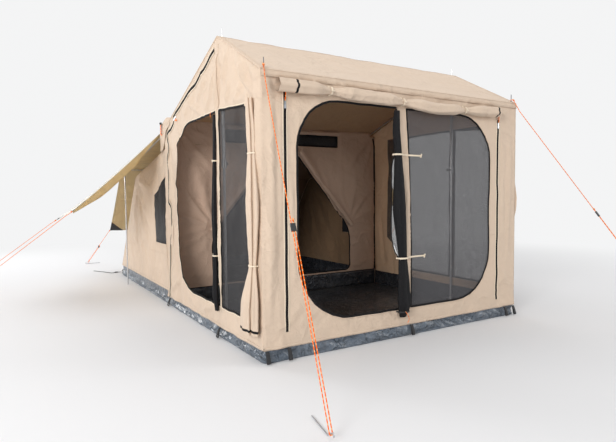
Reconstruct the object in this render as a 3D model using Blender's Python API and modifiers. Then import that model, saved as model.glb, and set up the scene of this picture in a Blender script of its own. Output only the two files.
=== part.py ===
"""Canvas touring tent: a living room with netted doorways, a bedroom behind it and a fly sheet.

Metres, +Z up, +X to the tent's right and +Y to its back. The origin lies on the ground under
the middle of the tent. Places along the tent are given as distances behind the front wall, and
back() turns such a distance into a Y value.
"""
from math import asin, atan, atan2, cos, pi, radians, sin, sqrt

import bmesh
import bpy
from mathutils import Euler, Matrix, Vector

# Driving sizes of the canvas
tent_width = 2.40
eave_height = 1.80
ridge_height = 2.175
ridge_back = 0.68
hub_height = 1.67
hub_back = 2.12
bedroom_length = 2.13
bedroom_knee_run = 1.24
bedroom_knee_height = 1.27
bedroom_roof_drop = 0.14
divider_setback = 0.25
rear_strip = 0.060
eave_lip = 0.045
canvas = 0.003
net = 0.001
gap = 0.0003
overrun = 0.02

# Floor tub
tub_height = 0.15
tub_sheet = 0.004
tub_flare = 0.010
tub_corner = 0.035
tub_sole = 0.012
living_hem = 0.080
bedroom_hem = 0.130

# Doorways of the living room: margins to the side walls, sills over the hem, heads under the eave
front_door_left_margin = 0.26
front_door_right_margin = 0.30
front_door_sill_rise = 0.135
front_door_head_drop = 0.155
front_door_corner = 0.30
post_left = -0.060
post_right = 0.020
side_door_front = 0.17
side_door_rear_margin = 0.18
right_door_rear_margin = 0.29
side_door_sill_rise = 0.160
side_door_head_drop = 0.160
side_door_corner = 0.36
side_door_front_corner = 0.08
side_post_width = 0.070
side_post_lead = 0.015
net_lap = 0.016
loose_net_foot = 0.20
loose_net_top = 0.86

# Divider: its doorway, its vent and the windows of the bedroom
vent_half_width = 0.65
vent_drop = 0.078
vent_height = 0.10
inner_door_head_drop = 0.075
inner_door_sill = 0.20
inner_door_half_width = 0.81
inner_door_shoulder = 0.66
inner_door_head_half = 0.10
inner_door_corner = 0.02
window_margin = 0.23
window_width = 0.42
window_low = 0.575
window_rear_high = 1.055
window_front_high = 1.235

# Frame
pole_inset = 0.035
pole_radius = 0.0125
inner_pole_radius = 0.0098
slide_clearance = 0.0005
spike_radius = 0.003
spike_height = 0.060
spike_hole = 0.0045
pole_split = 1.24
collar_height = 0.060
collar_radius = 0.020
insertion = 0.42
bore_end_wall = 0.060
foot_radius = 0.018
foot_height = 0.030
corner_pole_radius = 0.010
corner_pole_back = 0.022
rail_radius = 0.009
ridge_bar_radius = 0.011
knee_bar_radius = 0.011
knee_bar_overhang = 0.135
knee_bar_setback = 0.060
knee_bar_rise = 0.090
leg_inset = 0.033
leg_radius = 0.008
eye_radius = 0.0155
eye_width = 0.022
eye_clearance = 0.0006
leg_ground_clearance = 0.001
hub_outset = 0.007
hub_width = 0.084
hub_length = 0.066
hub_below = 0.060
hub_above = 0.065
hub_bevel = 0.006
fly_rail_inset = 0.004
fly_rail_leg_space = 0.040
lever_length = 0.052
lever_thickness = 0.008
lever_height = 0.018
lever_setback = 0.015

# Fly sheet
fly_thickness = 0.002
fly_hub_clearance = 0.026
fly_overhang = 0.26
fly_rear_height = 0.585
fly_rear_outset = 0.100
fly_sag = 0.050
fly_steepest_fall = 0.82
fly_fold_outset = 0.013
fly_bar_overhang = 0.008
wing_front_reach = 0.80
wing_front_lag = 0.005
wing_front_height = 0.915
wing_rear_reach = 0.85
wing_rear_lead = 0.17
wing_rear_height = 0.800
wing_sag = 0.035
valance_drop = 0.085

# Rolled and gathered cloth
roll_half_length = 1.00
roll_half_height = 0.046
roll_depth = 0.046
bundle_back = 0.090
bundle_half_width = 0.125
bundle_depth = 0.045
bundle_foot = 0.090
front_net_roll_half = 0.064
front_net_roll_side = 0.086
side_net_roll_half = 0.038
side_net_roll_back = 0.066
net_roll_foot = 0.070

# Guy ropes and pegs
rope_radius = 0.0025
strand_spread = 0.007
short_tail = 0.09
peg_radius = 0.0035
peg_arm_height = 0.0275
peg_length = 0.20
peg_arm = 0.05
peg_hook = 0.009
runner_length = 0.045
runner_width = 0.028
runner_thickness = 0.011
runner_bore = 0.0033

# Zip sliders
zip_left_inset = 0.166
zip_right_inset = 0.230
front_zip_drop = 0.160
side_zip_setback = 0.36
side_zip_drop = 0.072
slider_width = 0.014
slider_body = 0.022
slider_thickness = 0.004
pull_width = 0.009
pull_length = 0.045

# Places that follow from the driving sizes
wall = tent_width / 2
inside_wall = canvas + gap
divider_back = hub_back - divider_setback
divider_rear = divider_back + canvas
bedroom_front = divider_rear + gap
living_wall_rear = hub_back - rear_strip
bedroom_knee_back = hub_back + bedroom_knee_run
tub_rear = hub_back + bedroom_length
tub_outer = wall - 2 * inside_wall
tub_inner = tub_outer - tub_sheet
floor_top = tub_sheet + gap
front_door_left = front_door_left_margin - wall
front_door_right = wall - front_door_right_margin
front_door_sill = living_hem + front_door_sill_rise
front_door_top = eave_height - front_door_head_drop
side_door_sill = living_hem + side_door_sill_rise
side_door_rear = divider_back - side_door_rear_margin
right_door_rear = divider_back - right_door_rear_margin
roof_fall = (ridge_height - hub_height) / (hub_back - ridge_back)
roof_over_door = ridge_height - roof_fall * (side_door_rear - ridge_back)
side_door_top = min(eave_height, roof_over_door) - side_door_head_drop
side_post_front = ridge_back - side_post_lead
side_post_rear = side_post_front + side_post_width
pole_side = wall - pole_inset
knee_back = bedroom_knee_back + knee_bar_setback
knee_height = bedroom_knee_height + knee_bar_rise
knee_bar_half = wall + knee_bar_overhang
leg_side = knee_bar_half - leg_inset
rail_side = pole_side - pole_radius - gap - rail_radius
hub_side = pole_side + hub_outset
hub_low = hub_height - hub_below
hub_top = hub_height + hub_above
hub_front = hub_back + canvas
hub_rear = hub_front + hub_length
hub_rail_height = hub_low + hub_width / 2
fly_front = hub_rear + fly_hub_clearance
fly_rear_back = tub_rear + fly_overhang
fly_rear_side = wall + fly_rear_outset
wing_front_tip = (wall + wing_front_reach, fly_front + wing_front_lag, wing_front_height)
wing_rear_tip = (wall + wing_rear_reach, knee_back - wing_rear_lead, wing_rear_height)
# The canvas roll over the front door reaches furthest forward, and the fly furthest back
front_reach = 2 * roll_depth + gap
middle_back = (fly_rear_back + fly_thickness / 2 - front_reach) / 2


def back(distance):
    """Y of a place that lies this far behind the front wall's outer face."""
    return distance - middle_back


def material(name, colour, roughness, metallic=0.0):
    made = bpy.data.materials.new(name)
    made.use_nodes = True
    shader = made.node_tree.nodes["Principled BSDF"]
    shader.inputs["Base Color"].default_value = (*colour, 1.0)
    shader.inputs["Roughness"].default_value = roughness
    shader.inputs["Metallic"].default_value = metallic
    return made


def new_collection(name):
    made = bpy.data.collections.new(name)
    bpy.context.scene.collection.children.link(made)
    return made


for stray in list(bpy.data.objects):
    bpy.data.objects.remove(stray, do_unlink=True)

tent = new_collection("canvas_tent")
cutters = new_collection("cutters")

sand_canvas = material("sand_canvas", (0.72, 0.58, 0.43), 0.85)
brown_canvas = material("brown_canvas", (0.30, 0.20, 0.13), 0.85)
grey_pvc = material("grey_pvc", (0.20, 0.22, 0.25), 0.35)
black_net = material("black_net", (0.03, 0.03, 0.03), 0.80)
fly_cloth = material("fly_cloth", (0.80, 0.66, 0.36), 0.60)
pole_metal = material("pole_metal", (0.62, 0.62, 0.62), 0.35, 1.0)
black_plastic = material("black_plastic", (0.03, 0.03, 0.03), 0.45)
orange_rope = material("orange_rope", (0.95, 0.28, 0.06), 0.70)
peg_steel = material("peg_steel", (0.50, 0.50, 0.52), 0.30, 1.0)
zip_metal = material("zip_metal", (0.10, 0.10, 0.11), 0.40, 0.6)


def place(made, name, finish, location=(0, 0, 0), rotation=(0, 0, 0), into=None):
    made.name = name
    made.location = location
    made.rotation_euler = rotation
    made.data.materials.append(finish)
    (into or tent).objects.link(made)
    return made


# Cloth sections and outlines

def dropped(line, depth):
    """The line of a roof section moved inwards by depth, with its ends at the same distances."""
    moved = []
    for (s0, z0), (s1, z1) in zip(line, line[1:]):
        slope = (z1 - z0) / (s1 - s0)
        moved.append((slope, z0 - slope * s0 - depth * sqrt(1 + slope * slope)))
    first, last = moved[0], moved[-1]
    points = [(line[0][0], first[0] * line[0][0] + first[1])]
    for (m0, c0), (m1, c1) in zip(moved, moved[1:]):
        s = (c1 - c0) / (m0 - m1)
        points.append((s, m0 * s + c0))
    points.append((line[-1][0], last[0] * line[-1][0] + last[1]))
    return points


def height_on(line, s):
    """Height of a roof line at one distance behind the front wall."""
    for (s0, z0), (s1, z1) in zip(line, line[1:]):
        if s <= s1 or (s1, z1) == line[-1]:
            return z0 + (z1 - z0) * (s - s0) / (s1 - s0)


def rounded(corners, steps=6):
    """An outline from (x, y, radius) corners, with an arc at each corner that has a radius."""
    points = []
    count = len(corners)
    for i, (x, y, radius) in enumerate(corners):
        corner = Vector((x, y))
        if radius == 0:
            points.append((x, y))
            continue
        before = Vector(corners[i - 1][:2]) - corner
        after = Vector(corners[(i + 1) % count][:2]) - corner
        half = before.angle(after) / 2
        reach = radius / (sin(half) / cos(half))
        centre = corner + (before.normalized() + after.normalized()).normalized() * radius / sin(half)
        start = corner + before.normalized() * reach - centre
        end = corner + after.normalized() * reach - centre
        turn = start.angle_signed(end)
        for step in range(steps + 1):
            angle = -turn * step / steps
            points.append((centre.x + start.x * cos(angle) - start.y * sin(angle),
                           centre.y + start.x * sin(angle) + start.y * cos(angle)))
    return points


facing_front = (pi / 2, 0, 0)
facing_side = (pi / 2, 0, pi / 2)


def flat_outline(name, outlines, thickness):
    """A 2D curve, filled on both sides and as thick as the cloth; later outlines are holes."""
    curve = bpy.data.curves.new(name, "CURVE")
    curve.dimensions = "2D"
    curve.fill_mode = "BOTH"
    curve.extrude = thickness / 2
    for outline in outlines:
        spline = curve.splines.new("POLY")
        spline.points.add(len(outline) - 1)
        for point, (x, y) in zip(spline.points, outline):
            point.co = (x, y, 0, 1)
        spline.use_cyclic_u = True
    return bpy.data.objects.new(name, curve)


def as_mesh(curve_object, finish):
    """The curve's closed mesh, with its caps welded to its sides."""
    bpy.context.view_layer.update()
    graph = bpy.context.evaluated_depsgraph_get()
    mesh = bpy.data.meshes.new_from_object(curve_object.evaluated_get(graph))
    body = bmesh.new()
    body.from_mesh(mesh)
    bmesh.ops.remove_doubles(body, verts=body.verts, dist=gap / 10)
    body.to_mesh(mesh)
    body.free()
    name = curve_object.name
    collection = curve_object.users_collection[0]
    matrix = curve_object.matrix_world.copy()
    bpy.data.objects.remove(curve_object, do_unlink=True)
    made = bpy.data.objects.new(name, mesh)
    made.matrix_world = matrix
    mesh.materials.clear()
    mesh.materials.append(finish)
    collection.objects.link(made)
    return made


def cut(target, cutter, operation="DIFFERENCE"):
    cutter.hide_render = True
    cutter.display_type = "WIRE"
    boolean = target.modifiers.new(cutter.name, "BOOLEAN")
    boolean.operation = operation
    boolean.object = cutter


def primitive(name, finish, location=(0, 0, 0), rotation=(0, 0, 0), into=None, **shape):
    """A box from its size, or a cylinder from its radius, depth and sides."""
    mesh = bpy.data.meshes.new(name)
    body = bmesh.new()
    if "size" in shape:
        bmesh.ops.create_cube(body, size=1, matrix=Matrix.Diagonal((*shape["size"], 1)))
    else:
        bmesh.ops.create_cone(body, cap_ends=True, segments=shape["sides"], radius1=shape["radius"],
                              radius2=shape["radius"], depth=shape["depth"])
    body.to_mesh(mesh)
    body.free()
    return place(bpy.data.objects.new(name, mesh), name, finish, location, rotation, into)


def tube(name, points, radius, finish, sides=2, location=(0, 0, 0)):
    """A bar or rope of 2 * sides + 4 sides along the points, as a curve with filled caps."""
    curve = bpy.data.curves.new(name, "CURVE")
    curve.dimensions = "3D"
    curve.bevel_depth = radius
    curve.bevel_resolution = sides
    curve.use_fill_caps = True
    spline = curve.splines.new("POLY")
    spline.points.add(len(points) - 1)
    for spline_point, point in zip(spline.points, points):
        spline_point.co = (*point, 1)
    return place(bpy.data.objects.new(name, curve), name, finish, location)


def turned(name, profile, location, finish, steps=16):
    """A turned piece: the profile of (radius, height) pairs runs down its outer side."""
    mesh = bpy.data.meshes.new(name)
    mesh.from_pydata([(r, 0, z) for r, z in profile], [(i, i + 1) for i in range(len(profile) - 1)], [])
    made = place(bpy.data.objects.new(name, mesh), name, finish, location)
    screw = made.modifiers.new("turn", "SCREW")
    screw.steps = steps
    screw.render_steps = steps
    screw.use_merge_vertices = True
    screw.merge_threshold = gap / 10
    return made


# Roof lines, from the front wall backwards

living_line = [(-inside_wall, eave_height), (ridge_back, ridge_height), (hub_back, hub_height)]


def rear_hem():
    """Where the rear wall reaches its hem, lying against the top edge of the tub's rear side."""
    knee = Vector((bedroom_knee_back, bedroom_knee_height))
    to_tub = Vector((tub_rear, tub_height)) - knee
    lift = asin(inside_wall / to_tub.length)
    slope = atan2(to_tub.y, to_tub.x) + lift
    return bedroom_knee_back + (bedroom_hem - bedroom_knee_height) * cos(slope) / sin(slope)


rear_hem_back = rear_hem()
bedroom_line = [(bedroom_front, hub_height - bedroom_roof_drop), (bedroom_knee_back, bedroom_knee_height),
                (rear_hem_back, bedroom_hem)]


def roof_section(line, lip=None):
    """The closed section of a canvas roof, with a lip hanging at its front edge if asked."""
    inner = dropped(line, canvas)
    section = line + inner[::-1]
    if lip:
        s_inner = line[0][0] + canvas
        section = section[:-1] + [(s_inner, height_on(inner, s_inner)), (s_inner, line[0][1] - lip),
                                  (line[0][0], line[0][1] - lip)]
    return section


def make_roofs():
    roof = flat_outline("living_roof", [roof_section(living_line, eave_lip)], tent_width)
    place(roof, "living_roof", sand_canvas, (0, back(0), 0), facing_side)
    roof = as_mesh(roof, sand_canvas)
    for label, s in (("ridge", ridge_back), ("front", corner_pole_back)):
        for side in (-1, 1):
            hole = primitive(f"{label}_hole_{side}", sand_canvas, (side * pole_side, back(s),
                             height_on(living_line, s)), into=cutters, radius=spike_hole,
                             depth=2 * overrun, sides=12)
            cut(roof, hole)
    bedroom = flat_outline("bedroom_roof", [roof_section(bedroom_line)], 2 * (wall - inside_wall))
    place(bedroom, "bedroom_roof", sand_canvas, (0, back(0), 0), facing_side)


# Living-room walls

roof_seat = dropped(living_line, inside_wall)
bedroom_seat = dropped(bedroom_line, inside_wall)


def make_front_wall():
    top = height_on(roof_seat, 0)
    outline = [(-wall, living_hem), (wall, living_hem), (wall, top), (-wall, top)]
    r = front_door_corner
    left_door = rounded([(front_door_left, front_door_sill, r), (post_left, front_door_sill, 0),
                         (post_left, front_door_top, 0), (front_door_left, front_door_top, r)])
    right_door = rounded([(post_right, front_door_sill, 0), (front_door_right, front_door_sill, r),
                          (front_door_right, front_door_top, r), (post_right, front_door_top, 0)])
    made = flat_outline("front_wall", [outline, left_door, right_door], canvas)
    place(made, "front_wall", sand_canvas, (0, back(canvas / 2), 0), facing_front)
    lapped = rounded([(post_right - net_lap, front_door_sill - net_lap, 0),
                      (front_door_right + net_lap, front_door_sill - net_lap, r + net_lap),
                      (front_door_right + net_lap, front_door_top + net_lap, r + net_lap),
                      (post_right - net_lap, front_door_top + net_lap, 0)])
    made = flat_outline("front_mesh", [lapped], net)
    place(made, "front_mesh", black_net, (0, back(inside_wall + net / 2), 0), facing_front)


def side_wall_outline():
    rear = hub_back - canvas
    shoulder = height_on(roof_seat, rear) - 2 * overrun
    return [(inside_wall, living_hem), (living_wall_rear, living_hem), (living_wall_rear, shoulder),
            (rear, shoulder + overrun), (rear, height_on(roof_seat, rear)), roof_seat[1],
            (inside_wall, height_on(roof_seat, inside_wall))]


def side_openings(door_rear):
    front = rounded([(side_door_front, side_door_sill, side_door_front_corner),
                     (side_post_front, side_door_sill, 0), (side_post_front, side_door_top, 0),
                     (side_door_front, side_door_top, side_door_front_corner)], 3)
    r = side_door_corner
    rear = rounded([(side_post_rear, side_door_sill, 0), (door_rear, side_door_sill, r),
                    (door_rear, side_door_top, r), (side_post_rear, side_door_top, 0)])
    return [front, rear]


def make_side_walls():
    for side, label, rear in ((-1, "left", side_door_rear), (1, "right", right_door_rear)):
        made = flat_outline(f"{label}_wall", [side_wall_outline()] + side_openings(rear), canvas)
        place(made, f"{label}_wall", sand_canvas, (side * (wall - canvas / 2), back(0), 0), facing_side)
    low, high = side_door_sill - net_lap, side_door_top + net_lap
    front = side_door_front - net_lap
    left_net = [(front, low), (side_post_front + net_lap, low), (side_post_front + net_lap, high),
                (front, high)]
    # The zip of the right net is undone at its foot, so its rear edge hangs clear of the doorway's
    rear = right_door_rear + net_lap
    right_net = [(front, low), (right_door_rear - loose_net_foot, low), (rear, loose_net_top), (rear, high),
                 (front, high)]
    for side, label, outline in ((-1, "left", left_net), (1, "right", right_net)):
        made = flat_outline(f"{label}_mesh", [outline], net)
        place(made, f"{label}_mesh", black_net,
              (side * (wall - inside_wall - net / 2), back(0), 0), facing_side)


# Bedroom walls and the divider

def pocketed(panel_object, outline, thickness, finish):
    """Thins the panel to a sewn-in net inside the outline, by a shallow cut on each face."""
    panel_object = as_mesh(panel_object, finish)
    depth = (thickness - net) / 2
    for face in (-1, 1):
        cutter = flat_outline(f"{panel_object.name}_pocket_{face}", [outline], depth + overrun)
        offset = face * (net / 2 + (depth + overrun) / 2)
        place(cutter, cutter.name, finish, into=cutters)
        cutter.matrix_world = panel_object.matrix_world @ Matrix.Translation((0, 0, offset))
        cut(panel_object, as_mesh(cutter, finish))
    return panel_object


def make_divider():
    top = height_on(roof_seat, divider_rear)
    notch = pole_side - pole_radius - 2 * rail_radius - 3 * gap - canvas
    notch_drop = 2 * rail_radius + canvas + overrun
    half = tub_inner - gap
    outline = [(-half, floor_top), (half, floor_top), (half, top - notch_drop), (notch, top - notch_drop),
               (notch, top), (-notch, top), (-notch, top - notch_drop), (-half, top - notch_drop)]
    vent_high = top - vent_drop
    vent_low = vent_high - vent_height
    head = vent_low - inner_door_head_drop
    corner = inner_door_corner
    door = rounded([(-inner_door_half_width, inner_door_sill, corner),
                    (inner_door_half_width, inner_door_sill, corner),
                    (inner_door_half_width, inner_door_shoulder, corner),
                    (inner_door_head_half, head, corner),
                    (-inner_door_head_half, head, corner),
                    (-inner_door_half_width, inner_door_shoulder, corner)], 3)
    made = flat_outline("divider_wall", [outline, door], canvas)
    place(made, "divider_wall", brown_canvas, (0, back(divider_back + canvas / 2), 0), facing_front)
    vent = [(-vent_half_width, vent_low), (vent_half_width, vent_low), (vent_half_width, vent_high),
            (-vent_half_width, vent_high)]
    pocketed(made, vent, canvas, brown_canvas)


def make_bedroom_walls():
    (knee_s, knee_z), (end_s, end_z) = bedroom_seat[1:]
    hem_rear = knee_s + (end_s - knee_s) * (bedroom_hem - knee_z) / (end_z - knee_z)
    outline = [(bedroom_front, bedroom_hem), (hem_rear, bedroom_hem), bedroom_seat[1],
               (bedroom_front, height_on(bedroom_seat, bedroom_front))]
    window_front = divider_back + window_margin
    window_rear = window_front + window_width
    window = [(window_front, window_low), (window_rear, window_low), (window_rear, window_rear_high),
              (window_front, window_front_high)]
    for side, label in ((-1, "left"), (1, "right")):
        made = flat_outline(f"bedroom_{label}_wall", [outline], canvas)
        place(made, f"bedroom_{label}_wall", sand_canvas,
              (side * (wall - inside_wall - canvas / 2), back(0), 0), facing_side)
        pocketed(made, window, canvas, sand_canvas)


def make_tub():
    """The floor tub is lofted through rounded rectangles, open at the top, and made solid."""
    front = inside_wall
    sections = [(0.0, tub_flare / 2), (tub_sole, tub_flare), (living_hem - 2 * canvas, 0.0), (tub_height, 0.0)]
    body = bmesh.new()
    rings = []
    for height, flare in sections:
        half, near, far = tub_outer + flare, front - flare, tub_rear + flare
        corner = tub_corner
        ring = rounded([(-half, near, corner), (half, near, corner), (half, far, corner),
                        (-half, far, corner)], 3)
        rings.append([body.verts.new((x, back(s), height)) for x, s in ring])
    count = len(rings[0])
    body.faces.new(rings[0][::-1])
    for lower, upper in zip(rings, rings[1:]):
        for i in range(count):
            body.faces.new((lower[i], lower[(i + 1) % count], upper[(i + 1) % count], upper[i]))
    bmesh.ops.recalc_face_normals(body, faces=body.faces)
    mesh = bpy.data.meshes.new("tub_floor")
    body.to_mesh(mesh)
    body.free()
    made = place(bpy.data.objects.new("tub_floor", mesh), "tub_floor", grey_pvc)
    solid = made.modifiers.new("sheet", "SOLIDIFY")
    solid.thickness = tub_sheet
    solid.offset = -1
    solid.use_even_offset = True


# Rolled and gathered cloth

ring_twist = pi / 7


def gathered(name, spine, sizes, across, outwards, folds, fold_share, finish, ring_points=12):
    """A gathered roll of cloth: rings lofted along the spine, with folds that fade to nothing on the
    side that lies against a wall. sizes holds each ring's half width along "across" and its half
    depth along "outwards". ring_points is a multiple of four, so that a point lies on the wall."""
    across, depth_axis = Vector(across), Vector(outwards)
    body = bmesh.new()
    rings = []
    for i, (place_on_spine, (half_width, half_depth)) in enumerate(zip(spine, sizes)):
        ring = []
        twist = i * ring_twist
        for k in range(ring_points):
            angle = 2 * pi * k / ring_points
            fading = fold_share * (1 + sin(angle)) / 2
            swell = 1 - fading * (1 - cos(folds * angle + twist)) / 2
            offset = across * half_width * swell * cos(angle) + depth_axis * half_depth * swell * sin(angle)
            ring.append(body.verts.new(Vector(place_on_spine) + offset))
        rings.append(ring)
    body.faces.new(rings[0][::-1])
    body.faces.new(rings[-1])
    for lower, upper in zip(rings, rings[1:]):
        for k in range(ring_points):
            body.faces.new((lower[k], lower[(k + 1) % ring_points], upper[(k + 1) % ring_points], upper[k]))
    bmesh.ops.recalc_face_normals(body, faces=body.faces)
    mesh = bpy.data.meshes.new(name)
    body.to_mesh(mesh)
    body.free()
    mesh.shade_smooth()
    return place(bpy.data.objects.new(name, mesh), name, finish)


def between(table, position):
    """A value read from a table of (position, value) rows, straight between its rows."""
    for (p0, v0), (p1, v1) in zip(table, table[1:]):
        if position <= p1 or (p1, v1) == table[-1]:
            share = min(max((position - p0) / (p1 - p0), 0), 1)
            return v0 + (v1 - v0) * share


# The front canvas roll hangs under the eave lip, tied up at toggles, and sags between them. Places
# along it are shares of its half length, drops are shares of its half height.
roll_rings = 21
roll_tied_share = 0.80
roll_fold_share = 0.24
roll_tie_reach_share = 0.16
roll_tie_shares = (-0.67, -0.05, 0.62)
roll_drop_shares = [(-1.00, 0.10), (-0.67, 0.05), (-0.40, 0.30), (-0.05, 0.38), (0.27, 0.95), (0.62, 0.55),
                    (1.00, 0.28)]


def make_front_roll():
    spine, sizes = [], []
    highest = eave_height - eave_lip - roll_half_height - 2 * gap
    for i in range(roll_rings):
        share = 2 * i / (roll_rings - 1) - 1
        near = min(min(abs(share - tie) for tie in roll_tie_shares) / roll_tie_reach_share, 1)
        size = roll_tied_share + (1 - roll_tied_share) * near
        z = highest - roll_half_height * between(roll_drop_shares, share)
        spine.append((roll_half_length * share, back(-roll_depth * size - gap), z))
        sizes.append((roll_half_height * size, roll_depth * size))
    gathered("front_canvas_roll", spine, sizes, (0, 0, 1), (0, -1, 0), 3, roll_fold_share, sand_canvas)


# The side canvas is gathered into a bundle at the front corner and tied at two heights. Heights are
# shares of its length, half widths and the drift of its middle line are shares of its widest half.
bundle_rings = 15
bundle_fold_share = 0.34
bundle_width_shares = [(0.00, 1.00), (0.12, 0.76), (0.29, 0.38), (0.43, 0.59), (0.56, 0.66), (0.70, 0.50),
                       (0.77, 0.35), (0.87, 0.45), (1.00, 0.27)]
bundle_drift_shares = [(0.00, 0.40), (0.12, 0.24), (0.29, 0.10), (0.56, -0.20), (0.77, 0.00), (1.00, 0.28)]
bundle_depth_shares = [(0.00, 0.90), (0.12, 1.00), (0.29, 0.70), (0.56, 1.00), (0.77, 0.66), (1.00, 0.60)]


def make_side_bundles():
    bottom, top = living_hem + bundle_foot, side_door_top
    for side, label in ((-1, "left"), (1, "right")):
        spine, sizes = [], []
        for i in range(bundle_rings):
            share = i / (bundle_rings - 1)
            depth = bundle_depth * between(bundle_depth_shares, share)
            drift = bundle_half_width * between(bundle_drift_shares, share)
            spine.append((side * (wall + depth + gap), back(bundle_back + drift), bottom + (top - bottom) * share))
            sizes.append((bundle_half_width * between(bundle_width_shares, share), depth))
        gathered(f"{label}_canvas_bundle", spine, sizes, (0, 1, 0), (side, 0, 0), 4, bundle_fold_share,
                 sand_canvas, 16)


# The open door nets are rolled against their posts and tied at the toggles, with the same shares
net_roll_rings = 13
net_fold_share = 0.30
net_roll_depth_share = 0.62
front_net_width_shares = [(0.00, 0.44), (0.06, 1.00), (0.30, 0.62), (0.52, 0.97), (0.81, 0.53), (0.90, 0.58),
                          (1.00, 0.41)]
front_net_drift_shares = [(0.00, 0.00), (0.30, -0.09), (0.52, -0.72), (0.81, -0.69), (0.90, -1.00), (1.00, -0.84)]
side_net_width_shares = [(0.00, 0.65), (0.08, 1.00), (0.30, 0.74), (0.49, 0.91), (0.82, 0.57), (1.00, 0.52)]
side_net_drift_shares = [(0.00, 0.00), (0.11, 0.33), (0.49, 0.22), (0.82, -0.07), (1.00, -0.22)]


def net_roll(half, bottom, top, width_shares, drift_shares):
    """Height, sideways drift and half width of each ring of a rolled net."""
    rows = []
    for i in range(net_roll_rings):
        share = i / (net_roll_rings - 1)
        rows.append((bottom + (top - bottom) * share, half * between(drift_shares, share),
                     half * between(width_shares, share)))
    return rows


def make_net_rolls():
    spine, sizes = [], []
    rows = net_roll(front_net_roll_half, living_hem + net_roll_foot, front_door_top - net_lap,
                    front_net_width_shares, front_net_drift_shares)
    for z, drift, half in rows:
        depth = half * net_roll_depth_share
        spine.append((drift - front_net_roll_side, back(-depth - gap), z))
        sizes.append((half, depth))
    gathered("front_mesh_roll", spine, sizes, (1, 0, 0), (0, -1, 0), 3, net_fold_share, black_net)
    spine, sizes = [], []
    rows = net_roll(side_net_roll_half, side_door_sill - side_net_roll_half, side_door_top - net_lap,
                    side_net_width_shares, side_net_drift_shares)
    for z, drift, half in rows:
        depth = half * net_roll_depth_share
        spine.append((-wall - depth - gap, back(ridge_back + side_net_roll_back + drift), z))
        sizes.append((half, depth))
    gathered("left_mesh_roll", spine, sizes, (0, 1, 0), (-1, 0, 0), 3, net_fold_share, black_net)


# Frame

rail_seat = dropped(living_line, canvas + gap + rail_radius)


def spiked_profile(top, radius, tip):
    """The pointed spike on a pole's top, from its tip down to the pole's shoulder."""
    return [(0, tip), (spike_radius / 2, tip), (spike_radius, tip - 2 * spike_radius),
            (spike_radius, top), (radius, top)]


def make_peak_poles():
    under = dropped(living_line, inside_wall)
    top = height_on(under, ridge_back - pole_radius) - gap
    tip = ridge_height + spike_height
    bore = inner_pole_radius + slide_clearance
    bore_top = top - bore_end_wall
    inner_top = pole_split + insertion
    for side, label in ((-1, "left"), (1, "right")):
        outer = spiked_profile(top, pole_radius, tip) + [
            (pole_radius, pole_split + collar_height), (collar_radius, pole_split + collar_height),
            (collar_radius, pole_split), (bore, pole_split), (bore, bore_top), (0, bore_top)]
        turned(f"peak_pole_upper_{label}", outer, (side * pole_side, back(ridge_back), 0), pole_metal)
        inner = [(0, inner_top), (inner_pole_radius, inner_top), (inner_pole_radius, floor_top + foot_height),
                 (foot_radius, floor_top + foot_height), (foot_radius, floor_top), (0, floor_top)]
        turned(f"peak_pole_lower_{label}", inner, (side * pole_side, back(ridge_back), 0), pole_metal)
        make_lever(side, label)


# Half width at the tip and the corner radii at pin and tip, as shares of half the thickness
lever_shape_shares = (0.80, 0.98, 0.70)


def make_lever(side, label):
    """The clamp lever lies along the collar's inner side and swings out about a vertical pin."""
    half = lever_thickness / 2
    tip, round_end, round_tip = (half * share for share in lever_shape_shares)
    outline = rounded([(-half, -half, round_end), (half, -half, round_end),
                       (tip, lever_length, round_tip), (-tip, lever_length, round_tip)], 3)
    made = flat_outline(f"clamp_lever_{label}", [outline], lever_height)
    pin_x = side * (pole_side - collar_radius - gap - half)
    place(made, f"clamp_lever_{label}", black_plastic,
          (pin_x, back(ridge_back - lever_setback), pole_split + collar_height / 2))


def make_corner_poles():
    under = dropped(living_line, inside_wall)
    top = height_on(under, corner_pole_back - corner_pole_radius) - gap
    tip = height_on(living_line, corner_pole_back) + spike_height
    for side, label in ((-1, "left"), (1, "right")):
        profile = spiked_profile(top, corner_pole_radius, tip) + [
            (corner_pole_radius, floor_top + foot_height), (foot_radius, floor_top + foot_height),
            (foot_radius, floor_top), (0, floor_top)]
        turned(f"corner_pole_{label}", profile, (side * pole_side, back(corner_pole_back), 0), pole_metal, 12)


def make_bars():
    ridge = dropped(living_line, canvas + gap + ridge_bar_radius)[1]
    reach = rail_side - rail_radius - gap
    tube("ridge_bar", [(-reach, 0, 0), (reach, 0, 0)], ridge_bar_radius, pole_metal, 4,
         (0, back(ridge[0]), ridge[1]))
    tube("knee_bar", [(-knee_bar_half, 0, 0), (knee_bar_half, 0, 0)], knee_bar_radius, pole_metal, 4,
         (0, back(knee_back), knee_height))
    for side, label in ((-1, "left"), (1, "right")):
        front = corner_pole_back
        rear = hub_front - gap - rail_radius * sin(atan(roof_fall))
        points = [(side * rail_side, back(front), height_on(rail_seat, front)),
                  (side * rail_side, back(rail_seat[1][0]), rail_seat[1][1]),
                  (side * rail_side, back(rear), height_on(rail_seat, rear))]
        tube(f"roof_rail_{label}", points, rail_radius, pole_metal, 4)
        start, end = fly_rail_ends()
        points = [(side * start.x, back(start.y), start.z), (side * end.x, back(end.y), end.z)]
        tube(f"fly_rail_{label}", points, rail_radius, pole_metal, 4)


def fly_rail_ends():
    """Centre line of the right fly rail, from the hub's rear face to the knee bar."""
    fall = atan2(hub_rail_height - knee_height, knee_back - hub_rear)
    start = Vector((hub_side - fly_rail_inset, hub_rear + gap + rail_radius * sin(fall), hub_rail_height))
    short = knee_bar_radius + gap
    rear_side = leg_side - fly_rail_leg_space
    end = Vector((rear_side, knee_back - short * cos(fall), knee_height + short * sin(fall)))
    return start, end


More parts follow.
